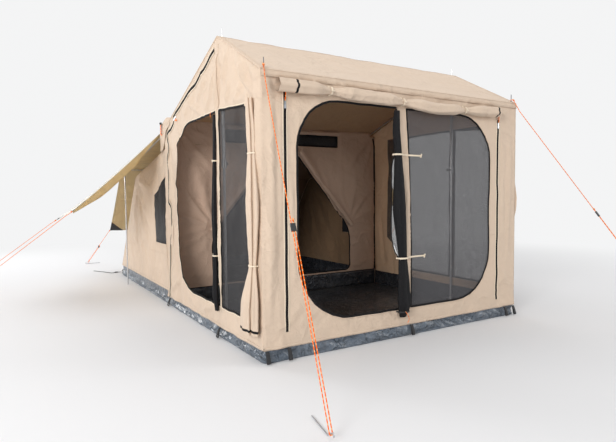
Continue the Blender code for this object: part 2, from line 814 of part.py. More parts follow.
def make_hubs():
    for side, label in ((-1, "left"), (1, "right")):
        made = primitive(f"hub_{label}", black_plastic, (side * hub_side, back((hub_front + hub_rear) / 2),
                         (hub_low + hub_top) / 2), size=(hub_width, hub_length, hub_top - hub_low))
        bevel = made.modifiers.new("rounding", "BEVEL")
        bevel.width = hub_bevel
        bevel.segments = 2


def make_rear_legs():
    """Each leg has an eye round the knee bar, about which it folds forward."""
    for side, label in ((-1, "left"), (1, "right")):
        name = f"rear_leg_{label}"
        centre = (side * leg_side, back(knee_back), knee_height)
        long = knee_height - leg_ground_clearance
        leg = primitive(name, pole_metal, centre, radius=leg_radius, depth=long, sides=12)
        leg.data.transform(Matrix.Translation((0, 0, -long / 2)))
        sideways = (0, pi / 2, 0)
        eye = primitive(f"{name}_eye", pole_metal, centre, sideways, cutters, radius=eye_radius,
                        depth=eye_width, sides=20)
        cut(leg, eye, "UNION")
        bore = primitive(f"{name}_bore", pole_metal, centre, sideways, cutters,
                         radius=knee_bar_radius + eye_clearance, depth=eye_width + overrun, sides=20)
        cut(leg, bore)


# Fly sheet

wing_columns = 3
middle_columns = 6
front_rows = 4
rear_rows = 3


def fly_fold(s):
    """X and height of the fly's right fold, where the wing turns down beside rail and knee bar."""
    start, end = fly_rail_ends()
    lift = (eye_radius + gap) * sqrt(1 + fly_steepest_fall ** 2)
    along = (s - fly_front) / (knee_back - fly_front)
    height = start.z + (knee_height - start.z) * along + lift
    hub_end = hub_side + fly_fold_outset
    knee_end = knee_bar_half + fly_bar_overhang
    return hub_end + (knee_end - hub_end) * along, height


def fly_point(across, row):
    """A point of the fly's underside. across is 0 at the middle, 1 at a fold and 2 at a wing's tip;
    row is 0 at the front edge, front_rows at the knee bar and more down the rear slope."""
    side = -1 if across < 0 else 1
    out = abs(across)
    along = min(row / front_rows, 1)
    s = fly_front + (knee_back - fly_front) * along
    fold_x, z = fly_fold(s)
    if row > front_rows:
        down = (row - front_rows) / rear_rows
        s = knee_back + (fly_rear_back - knee_back) * down
        z = z + (fly_rear_height - z) * down - fly_sag * sin(pi * down) * (1 - out * out / 2)
        fold_x = fold_x + (fly_rear_side - fold_x) * down
        return Vector((side * fold_x * out, back(s), z))
    if out <= 1:
        sag = fly_sag * (1 - out * out) * (1 - along)
        return Vector((side * fold_x * out, back(s), z - sag))
    share = out - 1
    tip = Vector(wing_front_tip).lerp(Vector(wing_rear_tip), along)
    x = fold_x + (tip.x - fold_x) * share
    s = s + (tip.y - s) * share
    z = z + (tip.z - z) * share - wing_sag * sin(pi * share) * (1 + along) / 2
    return Vector((side * x, back(s), z))


def make_fly():
    """One cross-shaped sheet: a grid without its rear wing corners, bent over the frame, with a
    valance along the front edge of each wing."""
    columns = 2 * (wing_columns + middle_columns // 2)
    body = bmesh.new()
    grid = {}
    for i in range(columns + 1):
        k = i - columns // 2
        half = middle_columns // 2
        across = k / half if abs(k) <= half else (1 + (abs(k) - half) / wing_columns) * (1 if k > 0 else -1)
        for row in range(front_rows + rear_rows + 1):
            if row > front_rows and abs(across) > 1:
                continue
            grid[i, row] = body.verts.new(fly_point(across, row))
        if abs(across) > 1:
            grid[i, -1] = body.verts.new(grid[i, 0].co + Vector((0, -valance_drop / 4, -valance_drop)))
    for i in range(columns):
        for row in range(-1, front_rows + rear_rows):
            corners = [grid.get(key) for key in ((i, row), (i + 1, row), (i + 1, row + 1), (i, row + 1))]
            loop = [corner for corner in corners if corner]
            # The valance starts from nothing at the fold, so its first face is a triangle
            if len(loop) == 4 or (row == -1 and len(loop) == 3):
                body.faces.new(loop)
    bmesh.ops.recalc_face_normals(body, faces=body.faces)
    top = max(body.faces, key=lambda face: abs(face.normal.z))
    if top.normal.z < 0:
        bmesh.ops.reverse_faces(body, faces=body.faces)
    mesh = bpy.data.meshes.new("fly_sheet")
    body.to_mesh(mesh)
    body.free()
    mesh.shade_smooth()
    made = place(bpy.data.objects.new("fly_sheet", mesh), "fly_sheet", fly_cloth)
    solid = made.modifiers.new("cloth", "SOLIDIFY")
    solid.thickness = fly_thickness
    solid.offset = 1


# Guy ropes, runners and pegs

spike_loop = spike_radius + rope_radius + 2 * gap
spike_loop_turn = radians(280)
spike_loop_steps = 8
bight_steps = 5
strand_shares = (0.06, 0.35, 0.65, 1.0)


def rope_frame(top, anchor, side_by_side):
    """Direction down the rope, and the direction from its tail to its upper strand, which is level
    where the two lie side by side and upright where one lies over the other."""
    down = (anchor - top).normalized()
    level = Vector((down.x, down.y, 0)).normalized()
    if side_by_side:
        return down, Vector((level.y, -level.x, 0))
    upright = Vector((0, 0, 1))
    square = (upright - down * upright.dot(down)).normalized()
    return down, square


def rope_points(top, anchor, tail, loop_round_spike):
    """Route of a guy rope: from its top, down to a bight round the peg and back up as a tail."""
    down, square = rope_frame(top, anchor, loop_round_spike)
    level = Vector((down.x, down.y, 0)).normalized()
    points = []
    if loop_round_spike:
        last = atan2(-level.x, level.y)
        for step in range(spike_loop_steps):
            angle = last - spike_loop_turn * (1 - step / (spike_loop_steps - 1))
            points.append(top + Vector((cos(angle), sin(angle), 0)) * spike_loop)
        points.append(points[-1] + level * spike_loop * 3 + down * spike_loop)
    else:
        points.append(top)
    straight = (anchor - top).length
    for share in strand_shares:
        points.append(top + square * strand_spread + down * straight * share)
    for step in range(1, bight_steps + 1):
        angle = pi * step / (bight_steps + 1)
        points.append(anchor + (square * cos(angle) + down * sin(angle)) * strand_spread)
    points.append(anchor - square * strand_spread)
    points.append(anchor - square * strand_spread - down * tail / 2)
    points.append(anchor - square * strand_spread - down * tail)
    return points


crook_steps = 5
crook_turn = radians(150)


def make_leaning_peg(name, top, anchor):
    """A steel peg lying on the ground towards the tent, its end bent up square to the rope through
    the bight of two strands side by side, and crooked away from the tent."""
    down, square = rope_frame(top, anchor, True)
    level = Vector((down.x, down.y, 0)).normalized()
    lean = square.cross(down)
    foot = lean * (peg_radius - anchor.z) / lean.z
    points = [foot - level * peg_length, foot, lean * peg_arm / 2]
    centre = points[-1] + down * peg_hook
    for step in range(1, crook_steps + 1):
        angle = crook_turn * step / crook_steps
        points.append(centre + (lean * sin(angle) - down * cos(angle)) * peg_hook)
    tube(name, points, peg_radius, peg_steel, location=anchor)


def make_peg(name, top, anchor):
    """A steel peg lying on the ground, its crook raised through the rope's bight."""
    down, _ = rope_frame(top, anchor, False)
    level = Vector((down.x, down.y, 0)).normalized()
    aside = Vector((-level.y, level.x, 0))
    rise = anchor.z - peg_radius
    points = [aside * (peg_arm / 2 - peg_length) - Vector((0, 0, rise)),
              aside * peg_arm / 2 - Vector((0, 0, rise))]
    for step in range(1, crook_steps):
        angle = pi * step / crook_steps - pi / 2
        points.append(aside * (peg_arm / 2 + cos(angle) * rise / 2)
                      + Vector((0, 0, (sin(angle) - 1) * rise / 2)))
    points += [aside * peg_arm / 2, -aside * peg_arm / 2]
    tube(name, points, peg_radius, peg_steel, location=anchor)


def make_runner(name, top, anchor, share, side_by_side):
    """A plate with two bores that slides on the rope's two strands."""
    down, square = rope_frame(top, anchor, side_by_side)
    turn = Matrix((square, down.cross(square), down)).transposed().to_4x4()
    centre = anchor + (top - anchor) * share
    made = primitive(name, black_plastic, size=(runner_width, runner_thickness, runner_length))
    made.matrix_world = Matrix.Translation(centre) @ turn
    for sign in (-1, 1):
        bore = primitive(f"{name}_bore_{sign}", black_plastic, into=cutters, radius=runner_bore,
                         depth=runner_length + overrun, sides=12)
        bore.matrix_world = made.matrix_world @ Matrix.Translation((sign * strand_spread, 0, 0))
        cut(made, bore)


spike_rope_share = 0.25
front_rope_top = height_on(living_line, corner_pole_back) + spike_height * spike_rope_share
fly_corner_clearance = 0.0009
valance_clearance = 0.004
# Pegs, as distances from the tent's middle line and behind its front wall
left_front_peg = (-1.384, -1.005)
right_front_peg = (1.555, -1.16)
wing_front_peg = (2.90, 3.80)
wing_rear_peg = (2.92, 4.30)
rear_peg = (1.43, 5.72)
front_runner_share = 0.47
rear_runner_share = 0.52


def outward(tip, anchor, clearance):
    """The place just outside a corner of the fly, towards the rope's peg."""
    return tip + (anchor - tip).normalized() * clearance


def rope_routes():
    """Name, top, peg place, tail and top loop of every guy rope."""
    routes = []
    for side, label in ((-1, "left"), (1, "right")):
        x, s = left_front_peg if side < 0 else right_front_peg
        top = Vector((side * pole_side, back(corner_pole_back), front_rope_top))
        routes.append((f"front_guy_{label}", top, Vector((x, back(s), peg_arm_height)), front_runner_share, True))
        rear_tip = (fly_rear_side, fly_rear_back, fly_rear_height)
        for rope, tip, peg, clearance, runner in (
                ("wing_front_guy", wing_front_tip, wing_front_peg, valance_clearance, None),
                ("wing_rear_guy", wing_rear_tip, wing_rear_peg, fly_corner_clearance, None),
                ("rear_guy", rear_tip, rear_peg, fly_corner_clearance, rear_runner_share)):
            anchor = Vector((side * peg[0], back(peg[1]), peg_arm_height))
            corner = Vector((side * tip[0], back(tip[1]), tip[2]))
            routes.append((f"{rope}_{label}", outward(corner, anchor, clearance), anchor, runner, False))
    return routes


def make_guys():
    for name, top, anchor, runner, spike in rope_routes():
        straight = (anchor - top).length
        tail = short_tail
        if runner:
            tail = straight * runner + runner_length
            make_runner(name.replace("guy", "runner"), top, anchor, runner, spike)
        tube(name, rope_points(top, anchor, tail, spike), rope_radius, orange_rope)
        (make_leaning_peg if spike else make_peg)(name.replace("guy", "peg"), top, anchor)


# Zip sliders

def make_slider(name, location, rotation):
    """A zip slider with its pull: the origin is at the slider's end and the pull points along Y."""
    half, pull = slider_width / 2, pull_width / 2
    reach = slider_body + pull_length
    outline = [(-half, 0), (half, 0), (half, slider_body), (pull, slider_body), (pull, reach),
               (-pull, reach), (-pull, slider_body), (-half, slider_body)]
    place(flat_outline(name, [outline], slider_thickness), name, zip_metal, location, rotation)


def make_sliders():
    """The front sliders are parked at the tops of their zips with the pull up, the side ones at the
    foot of the sloping stretch of zip that runs under the roof's edge to the ridge."""
    out = gap + slider_thickness / 2
    bottom = eave_height - front_zip_drop - slider_body - pull_length
    for label, x in (("left", zip_left_inset - wall), ("right", wall - zip_right_inset)):
        make_slider(f"front_slider_{label}", (x, back(-out), bottom), facing_front)
    s = hub_back - side_zip_setback
    z = height_on(living_line, s) - side_zip_drop
    up_the_slope = Matrix.Rotation(pi / 2 - atan(roof_fall), 3, "X") @ Euler(facing_side).to_matrix()
    for side, label in ((-1, "left"), (1, "right")):
        make_slider(f"side_slider_{label}", (side * (wall + out), back(s), z),
                    up_the_slope.to_euler())


make_roofs()
make_front_wall()
make_side_walls()
make_divider()
make_bedroom_walls()
make_tub()
make_front_roll()
make_side_bundles()
make_net_rolls()
make_peak_poles()
make_corner_poles()
make_bars()
make_hubs()
make_rear_legs()
make_fly()
make_guys()
make_sliders()
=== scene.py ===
from math import atan2, ceil, cos, pi, radians, sin, sqrt

import bpy
import numpy as np
from mathutils import Matrix, Vector
from mathutils.geometry import delaunay_2d_cdt


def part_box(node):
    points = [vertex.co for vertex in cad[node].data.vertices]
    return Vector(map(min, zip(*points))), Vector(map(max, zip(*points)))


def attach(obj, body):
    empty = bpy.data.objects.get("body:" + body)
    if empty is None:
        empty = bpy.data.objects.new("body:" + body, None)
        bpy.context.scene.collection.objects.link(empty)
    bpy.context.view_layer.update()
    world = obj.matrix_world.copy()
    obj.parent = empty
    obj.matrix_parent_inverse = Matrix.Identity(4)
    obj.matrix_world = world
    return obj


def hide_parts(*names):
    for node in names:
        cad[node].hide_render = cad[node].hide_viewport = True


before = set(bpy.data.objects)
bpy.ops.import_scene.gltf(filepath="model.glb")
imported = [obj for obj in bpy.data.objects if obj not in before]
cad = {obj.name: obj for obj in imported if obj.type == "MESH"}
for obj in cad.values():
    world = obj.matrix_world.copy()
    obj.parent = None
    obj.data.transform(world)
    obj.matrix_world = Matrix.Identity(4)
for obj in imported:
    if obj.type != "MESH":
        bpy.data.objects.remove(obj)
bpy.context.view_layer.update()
print("frame loaded with", len(cad), "nodes")

# Places read from the frame. s is the distance behind the front wall's outer face.
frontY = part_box("front_wall")[0].y
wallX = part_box("right_wall")[1].x
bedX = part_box("bedroom_right_wall")[1].x
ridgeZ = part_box("living_roof")[1].z
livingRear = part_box("living_roof")[1].y - frontY
ridgeBack = (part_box("peak_pole_upper_left")[0].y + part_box("peak_pole_upper_left")[1].y) / 2 - frontY
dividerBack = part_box("divider_wall")[0].y - frontY
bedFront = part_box("bedroom_right_wall")[0].y - frontY
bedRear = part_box("bedroom_roof")[1].y - frontY
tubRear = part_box("tub_floor")[1].y - frontY
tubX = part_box("tub_floor")[1].x

bothSides = ((-1, "left"), (1, "right"))
tentShape = {  # heights and places that the boxes don't give, in metres
    "eave": 1.80, "hub": 1.67, "kneeBack": 3.36, "knee": 1.27, "bedTop": 1.53, "lip": 0.045,
    "livingHem": 0.08, "bedHem": 0.13, "cloth": 0.0012, "middle": 0.0015, "lap": 0.0033,
}
middle = tentShape["middle"]


def at(x, s, z):
    return Vector((x, frontY + s, z))


def atAll(x, s, z):
    x, s, z = np.broadcast_arrays(x, s, z)
    return np.stack([x, frontY + s, z], -1).astype(float)


# Camera

view = {"lens": 29.12, "x": -2.5336, "s": -2.7176, "z": 1.0345, "pitch": 2.905, "yaw": 31.403, "roll": -0.524}


def setCamera():
    data = bpy.data.cameras.new("camera")
    data.lens = view["lens"]
    data.clip_end = 300
    camera = bpy.data.objects.new("camera", data)
    bpy.context.scene.collection.objects.link(camera)
    turn = Matrix.Rotation(radians(-view["yaw"]), 4, "Z") @ Matrix.Rotation(radians(90 - view["pitch"]), 4, "X")
    roll = Matrix.Rotation(radians(view["roll"]), 4, "Z")
    camera.matrix_world = Matrix.Translation(at(view["x"], view["s"], view["z"])) @ turn @ roll
    bpy.context.scene.camera = camera


# Shader tools

def setInputs(tree, node, inputs):
    for key, value in inputs.items():
        if isinstance(value, bpy.types.NodeSocket):
            tree.links.new(value, node.inputs[key])
        else:
            node.inputs[key].default_value = value


def newNode(tree, kind, inputs=None, **settings):
    made = tree.nodes.new(kind)
    for key, value in settings.items():
        setattr(made, key, value)
    setInputs(tree, made, inputs or {})
    return made


def calc(tree, operation, *given, clamp=False):
    inputs = {i: value for i, value in enumerate(given)}
    return newNode(tree, "ShaderNodeMath", inputs, operation=operation, use_clamp=clamp).outputs[0]


def smoothRange(tree, value, low, high, toLow=0.0, toHigh=1.0):
    inputs = {"Value": value, "From Min": low, "From Max": high, "To Min": toLow, "To Max": toHigh}
    return newNode(tree, "ShaderNodeMapRange", inputs, interpolation_type="SMOOTHSTEP").outputs[0]


def mixColour(tree, factor, first, second, blend="MIX"):
    made = newNode(tree, "ShaderNodeMix", {0: factor, 6: first, 7: second}, data_type="RGBA", blend_type=blend)
    return made.outputs[2]


def newGroup(name, inputs, outputs):
    group = bpy.data.node_groups.new(name, "ShaderNodeTree")
    kinds = {"vector": "NodeSocketVector", "value": "NodeSocketFloat", "colour": "NodeSocketColor"}
    for label, kind, value in inputs:
        socket = group.interface.new_socket(label, in_out="INPUT", socket_type=kinds[kind])
        if value is not None:
            socket.default_value = value
    for label, kind in outputs:
        group.interface.new_socket(label, in_out="OUTPUT", socket_type=kinds[kind])
    return group, newNode(group, "NodeGroupInput").outputs, newNode(group, "NodeGroupOutput").inputs


def noise(tree, vector, scale, detail=2.0, rough=0.5, distortion=0.0):
    inputs = {"Vector": vector, "Scale": scale, "Detail": detail, "Roughness": rough, "Distortion": distortion}
    return newNode(tree, "ShaderNodeTexNoise", inputs).outputs["Fac"]


def swing(tree, value, period):
    # a sine that repeats every period metres
    turns = calc(tree, "DIVIDE", value, period)
    return calc(tree, "SINE", calc(tree, "MULTIPLY", turns, 2 * pi))


def gridLine(tree, value, period, sharpness):
    # 1 on a line every period metres, falling off to 0 between the lines
    share = calc(tree, "PINGPONG", calc(tree, "DIVIDE", value, period), 0.5)
    return calc(tree, "POWER", calc(tree, "SUBTRACT", 1.0, calc(tree, "MULTIPLY", share, 2.0)), sharpness)


# Effects that several finishes share

def makeEffects():
    made = {}

    tree, given, out = newGroup("plainWeave", [("Vector", "vector", None), ("Thread", "value", 0.0014),
                                ("Rip", "value", 0.007), ("Rip Depth", "value", 0.6)], [("Height", "value")])
    x, y, _ = newNode(tree, "ShaderNodeSeparateXYZ", {0: given["Vector"]}).outputs
    thread = calc(tree, "MULTIPLY", swing(tree, x, given["Thread"]), swing(tree, y, given["Thread"]))
    rips = calc(tree, "MAXIMUM", gridLine(tree, x, given["Rip"], 9.0), gridLine(tree, y, given["Rip"], 9.0))
    height = calc(tree, "MULTIPLY_ADD", thread, 0.25, 0.25)
    tree.links.new(calc(tree, "MULTIPLY_ADD", rips, given["Rip Depth"], height), out["Height"])
    made["weave"] = tree

    tree, given, out = newGroup("clothCreases", [("Vector", "vector", None), ("Size", "value", 0.12),
                                ("Sharpness", "value", 3.0)], [("Height", "value")])
    scale = calc(tree, "DIVIDE", 1.0, given["Size"])
    soft = noise(tree, given["Vector"], scale, 2.0, 0.5, 0.7)
    ridge = calc(tree, "ABSOLUTE", calc(tree, "MULTIPLY_ADD", soft, 2.0, -1.0))
    ridge = calc(tree, "POWER", calc(tree, "SUBTRACT", 1.0, ridge), given["Sharpness"])
    tree.links.new(ridge, out["Height"])
    made["creases"] = tree

    tree, given, out = newGroup("unevenColour", [("Color", "colour", None), ("Vector", "vector", None),
                                ("Size", "value", 0.25), ("Amount", "value", 0.06)], [("Color", "colour")])
    scale = calc(tree, "DIVIDE", 1.0, given["Size"])
    broad = noise(tree, given["Vector"], scale, 3.0, 0.55)
    fine = noise(tree, given["Vector"], calc(tree, "MULTIPLY", scale, 14.0), 2.0, 0.6)
    both = calc(tree, "MULTIPLY_ADD", fine, 0.4, calc(tree, "MULTIPLY", broad, 0.6))
    level = calc(tree, "MULTIPLY_ADD", calc(tree, "SUBTRACT", both, 0.5),
                 calc(tree, "MULTIPLY", given["Amount"], 4.0), 1.0)
    grey = newNode(tree, "ShaderNodeCombineColor", {0: level, 1: level, 2: level}).outputs[0]
    tree.links.new(mixColour(tree, 1.0, given["Color"], grey, "MULTIPLY"), out["Color"])
    made["uneven"] = tree

    tree, given, out = newGroup("groundDust", [("Vector", "vector", None), ("Low", "value", 0.0),
                                ("High", "value", 0.35)], [("Mask", "value")])
    _, _, z = newNode(tree, "ShaderNodeSeparateXYZ", {0: given["Vector"]}).outputs
    near = smoothRange(tree, z, given["Low"], given["High"], 1.0, 0.0)
    patches = noise(tree, given["Vector"], 5.0, 4.0, 0.6)
    tree.links.new(calc(tree, "MULTIPLY", near, smoothRange(tree, patches, 0.35, 0.75), clamp=True), out["Mask"])
    made["dust"] = tree

    tree, given, out = newGroup("scuffs", [("Vector", "vector", None), ("Size", "value", 0.02),
                                ("Stretch", "value", 8.0)], [("Mask", "value"), ("Height", "value")])
    lengthened = newNode(tree, "ShaderNodeCombineXYZ", {0: given["Stretch"], 1: given["Stretch"], 2: 1.0}).outputs[0]
    pulled = newNode(tree, "ShaderNodeVectorMath", {0: given["Vector"], 1: lengthened},
                     operation="MULTIPLY").outputs[0]
    grain = noise(tree, pulled, calc(tree, "DIVIDE", 1.0, given["Size"]), 4.0, 0.65)
    tree.links.new(smoothRange(tree, grain, 0.45, 0.72), out["Mask"])
    tree.links.new(grain, out["Height"])
    made["scuffs"] = tree

    tree, given, out = newGroup("ropeBraid", [("Vector", "vector", None), ("Pitch", "value", 0.006),
                                ("Fleck", "value", 0.05), ("Fleck Share", "value", 0.34)],
                                [("Fleck Mask", "value"), ("Height", "value")])
    along, around, _ = newNode(tree, "ShaderNodeSeparateXYZ", {0: given["Vector"]}).outputs
    left = swing(tree, calc(tree, "ADD", along, around), given["Pitch"])
    right = swing(tree, calc(tree, "SUBTRACT", along, around), given["Pitch"])
    place = calc(tree, "FRACT", calc(tree, "DIVIDE", along, given["Fleck"]))
    fleck = smoothRange(tree, place, given["Fleck Share"], calc(tree, "ADD", given["Fleck Share"], 0.08), 1.0, 0.0)
    tree.links.new(fleck, out["Fleck Mask"])
    tree.links.new(calc(tree, "MAXIMUM", left, right), out["Height"])
    made["braid"] = tree

    tree, given, out = newGroup("knittedNet", [("Vector", "vector", None), ("Cell", "value", 0.0022),
                                ("Open", "value", 0.45)], [("Threads", "value")])
    x, y, _ = newNode(tree, "ShaderNodeSeparateXYZ", {0: given["Vector"]}).outputs
    lines = calc(tree, "MAXIMUM", gridLine(tree, x, given["Cell"], 1.2), gridLine(tree, y, given["Cell"], 1.2))
    tree.links.new(smoothRange(tree, lines, given["Open"], calc(tree, "ADD", given["Open"], 0.2)), out["Threads"])
    made["net"] = tree

    tree, given, out = newGroup("stitchRow", [("Vector", "vector", None), ("Stitch", "value", 0.005),
                                ("Row", "value", 0.004), ("Spacing", "value", 0.02)], [("Mask", "value")])
    x, y, _ = newNode(tree, "ShaderNodeSeparateXYZ", {0: given["Vector"]}).outputs
    dash = calc(tree, "LESS_THAN", calc(tree, "FRACT", calc(tree, "DIVIDE", x, given["Stitch"])), 0.62)
    offset = calc(tree, "ABSOLUTE", calc(tree, "SUBTRACT", calc(tree, "PINGPONG", y, given["Spacing"]), given["Row"]))
    tree.links.new(calc(tree, "MULTIPLY", dash, calc(tree, "LESS_THAN", offset, 0.0007)), out["Mask"])
    made["stitch"] = tree
    return made


effects = makeEffects()


def useEffect(tree, name, **inputs):
    made = tree.nodes.new("ShaderNodeGroup")
    made.node_tree = effects[name]
    setInputs(tree, made, {key.replace("_", " "): value for key, value in inputs.items()})
    return made.outputs


def unevenColour(tree, places, colour, size, amount):
    return useEffect(tree, "uneven", Color=(*colour, 1), Vector=places, Size=size, Amount=amount)[0]


def creaseHeight(tree, places, size, sharpness):
    return useEffect(tree, "creases", Vector=places, Size=size, Sharpness=sharpness)[0]


def stained(tree, mask, amount, base, colour):
    return mixColour(tree, calc(tree, "MULTIPLY", mask, amount), base, (*colour, 1))


def blankMaterial(name):
    made = bpy.data.materials.new(name)
    made.use_nodes = True
    tree = made.node_tree
    shader = tree.nodes["Principled BSDF"]
    clothMap = newNode(tree, "ShaderNodeUVMap", uv_map="cloth").outputs[0]
    places = newNode(tree, "ShaderNodeTexCoord").outputs["Object"]
    return made, tree, shader, clothMap, places


def addBumps(tree, shader, layers):
    # layers are (height, distance in metres, strength), each laid over the one before
    normal = None
    for height, distance, strength in layers:
        inputs = {"Height": height, "Distance": distance, "Strength": strength}
        if normal:
            inputs["Normal"] = normal
        normal = newNode(tree, "ShaderNodeBump", inputs).outputs[0]
    tree.links.new(normal, shader.inputs["Normal"])


clothFinishes = {  # colour, roughness, sheen, colour variation, depth of the broad, small and fine creases
    "sandCanvas": {"colour": (0.665, 0.525, 0.405), "rough": 0.86, "sheen": 0.10, "uneven": 0.040,
                   "creases": (0.0130, 0.0024, 0.0003)},
    # inner face of the walls: the canvas brighter and warmer than outside, painted light coming through the cloth
    "paintedLightLining": {"colour": (0.800, 0.560, 0.370), "rough": 0.90, "sheen": 0.05, "uneven": 0.040,
                   "creases": (0.0100, 0.0012, 0.0001)},
    # inner face of the living roof: the canvas darker and warmer, painted shade with painted light coming through
    "paintedShadeRoofLining": {"colour": (0.50, 0.310, 0.175), "rough": 0.90, "sheen": 0.05, "uneven": 0.040,
                   "creases": (0.0100, 0.0012, 0.0001)},
    # inner faces of the bedroom: the canvas much darker, painted shade
    "paintedShadeBedLining": {"colour": (0.30, 0.185, 0.105), "rough": 0.90, "sheen": 0.05, "uneven": 0.040,
                  "creases": (0.0120, 0.0012, 0.0001)},
    # paler than the canvas: on the zip and door welts a painted highlight, on the ties and toggles their own cream
    # colour
    "creamAndPaintedHighlight": {"colour": (0.80, 0.680, 0.530), "rough": 0.80, "sheen": 0.10, "uneven": 0.030,
                  "creases": (0.0020, 0.0006, 0.0001)},
    # the tent's canvas darkened: painted shade, on the divider with its welts and flaps and on the pieces that share
    # this finish
    "paintedShadeCanvas": {"colour": (0.600, 0.425, 0.320), "rough": 0.88, "sheen": 0.08, "uneven": 0.040,
                    "creases": (0.0100, 0.0016, 0.0001)},
    "flyCloth": {"colour": (0.680, 0.510, 0.255), "rough": 0.70, "sheen": 0.05, "uneven": 0.030,
                 "creases": (0.0130, 0.0020, 0.0001), "through": 0.55},
    # the fly's top face, paler and greyer than its underside: painted sheen of the top seen at a grazing angle
    "paintedSheenFlyTop": {"colour": (0.830, 0.815, 0.770), "rough": 0.60, "sheen": 0.05, "uneven": 0.020,
               "creases": (0.0110, 0.0020, 0.0001), "through": 0.35},
}
creaseLayers = ((0.22, 2.5, 0.65), (0.06, 4.0, 0.65), (0.022, 3.0, 0.5))  # size, sharpness, strength


def makeCloth(name):
    look = clothFinishes[name]
    made, tree, shader, clothMap, places = blankMaterial(name)
    base = unevenColour(tree, places, look["colour"], 0.35, look["uneven"])
    dust = useEffect(tree, "dust", Vector=places, Low=0.02, High=0.45)[0]
    soiled = stained(tree, dust, 0.22, base, (0.36, 0.30, 0.25))
    weave = useEffect(tree, "weave", Vector=clothMap)[0]
    layers = [(creaseHeight(tree, places, size, sharpness), depth, strength)
              for (size, sharpness, strength), depth in zip(creaseLayers, look["creases"])]
    addBumps(tree, shader, layers + [(weave, 0.00025, 0.5)])
    setInputs(tree, shader, {"Base Color": soiled, "Roughness": look["rough"], "Sheen Weight": look["sheen"],
                             "Sheen Roughness": 0.5, "Specular IOR Level": 0.25,
                             "Transmission Weight": look.get("through", 0.0)})
    return made


def makeTape():
    # black zip and edge tape: ribbed across, with a row of stitches near each edge
    made, tree, shader, clothMap, places = blankMaterial("blackTape")
    rows = useEffect(tree, "stitch", Vector=clothMap, Stitch=0.0045, Row=0.003, Spacing=0.012)[0]
    base = unevenColour(tree, places, (0.010, 0.009, 0.010), 0.05, 0.20)
    base = stained(tree, rows, 0.20, base, (0.06, 0.057, 0.055))
    ribs = swing(tree, newNode(tree, "ShaderNodeSeparateXYZ", {0: clothMap}).outputs[0], 0.003)
    addBumps(tree, shader, [(ribs, 0.0004, 0.5), (rows, 0.0005, 0.6)])
    setInputs(tree, shader, {"Base Color": base, "Roughness": 0.85, "Specular IOR Level": 0.2})
    return made


def makeNet(name, colour, openness, threadAlpha, holeAlpha):
    made, tree, shader, clothMap, places = blankMaterial(name)
    threads = useEffect(tree, "net", Vector=clothMap, Cell=0.0022, Open=openness)[0]
    base = unevenColour(tree, places, colour, 0.2, 0.10)
    alpha = smoothRange(tree, threads, 0.0, 1.0, holeAlpha, threadAlpha)
    addBumps(tree, shader, [(creaseHeight(tree, places, 0.25, 2.0), 0.006, 0.6)])
    setInputs(tree, shader, {"Base Color": base, "Alpha": alpha, "Roughness": 0.75})
    return made


def makeRolledNet():
    made, tree, shader, clothMap, places = blankMaterial("rolledNet")
    threads = useEffect(tree, "net", Vector=clothMap, Cell=0.0022, Open=0.35)[0]
    base = unevenColour(tree, places, (0.006, 0.006, 0.007), 0.06, 0.25)
    base = stained(tree, threads, 0.4, base, (0.014, 0.013, 0.015))
    creases = creaseHeight(tree, places, 0.035, 3.0)
    addBumps(tree, shader, [(creases, 0.004, 0.8), (threads, 0.0003, 0.5)])
    setInputs(tree, shader, {"Base Color": base, "Roughness": 0.80, "Specular IOR Level": 0.25})
    return made


def makePvc(name, colour):
    made, tree, shader, clothMap, places = blankMaterial(name)
    base = unevenColour(tree, places, colour, 0.15, 0.10)
    dust = useEffect(tree, "dust", Vector=places, Low=0.0, High=0.16)[0]
    base = stained(tree, dust, 0.12, base, (0.33, 0.33, 0.32))
    rough = smoothRange(tree, dust, 0.0, 1.0, 0.30, 0.55)
    creases = creaseHeight(tree, places, 0.09, 5.0)
    fine = creaseHeight(tree, places, 0.03, 6.0)
    weave = useEffect(tree, "weave", Vector=clothMap, Thread=0.003, Rip=0.012, Rip_Depth=0.3)[0]
    addBumps(tree, shader, [(creases, 0.020, 0.90), (fine, 0.0045, 0.8), (weave, 0.0003, 0.4)])
    setInputs(tree, shader, {"Base Color": base, "Roughness": rough, "Coat Weight": 0.35, "Coat Roughness": 0.14})
    return made


def makeMetal(name, colour, rough, stretch):
    made, tree, shader, _, places = blankMaterial(name)
    mask, height = useEffect(tree, "scuffs", Vector=places, Size=0.02, Stretch=stretch)
    base = stained(tree, mask, 0.35, (*colour, 1), [c * 0.55 for c in colour])
    rough = smoothRange(tree, mask, 0.0, 1.0, rough, rough + 0.22)
    addBumps(tree, shader, [(height, 0.0004, 0.35)])
    setInputs(tree, shader, {"Base Color": base, "Roughness": rough, "Metallic": 1.0})
    return made


def makePlastic():
    made, tree, shader, _, places = blankMaterial("blackPlastic")
    mask, height = useEffect(tree, "scuffs", Vector=places, Size=0.006, Stretch=1.5)
    base = stained(tree, mask, 0.4, (0.022, 0.022, 0.024, 1), (0.06, 0.06, 0.062))
    rough = smoothRange(tree, mask, 0.0, 1.0, 0.38, 0.60)
    addBumps(tree, shader, [(height, 0.0005, 0.4)])
    setInputs(tree, shader, {"Base Color": base, "Roughness": rough})
    return made


def makeRope():
    made, tree, shader, clothMap, places = blankMaterial("orangeRope")
    flecks, braid = useEffect(tree, "braid", Vector=clothMap, Pitch=0.006, Fleck=0.026, Fleck_Share=0.26)
    base = unevenColour(tree, places, (0.98, 0.165, 0.006), 0.03, 0.10)
    base = mixColour(tree, flecks, base, (0.96, 0.48, 0.22, 1))
    addBumps(tree, shader, [(braid, 0.0006, 0.7)])
    setInputs(tree, shader, {"Base Color": base, "Roughness": 0.75, "Specular IOR Level": 0.2})
    return made


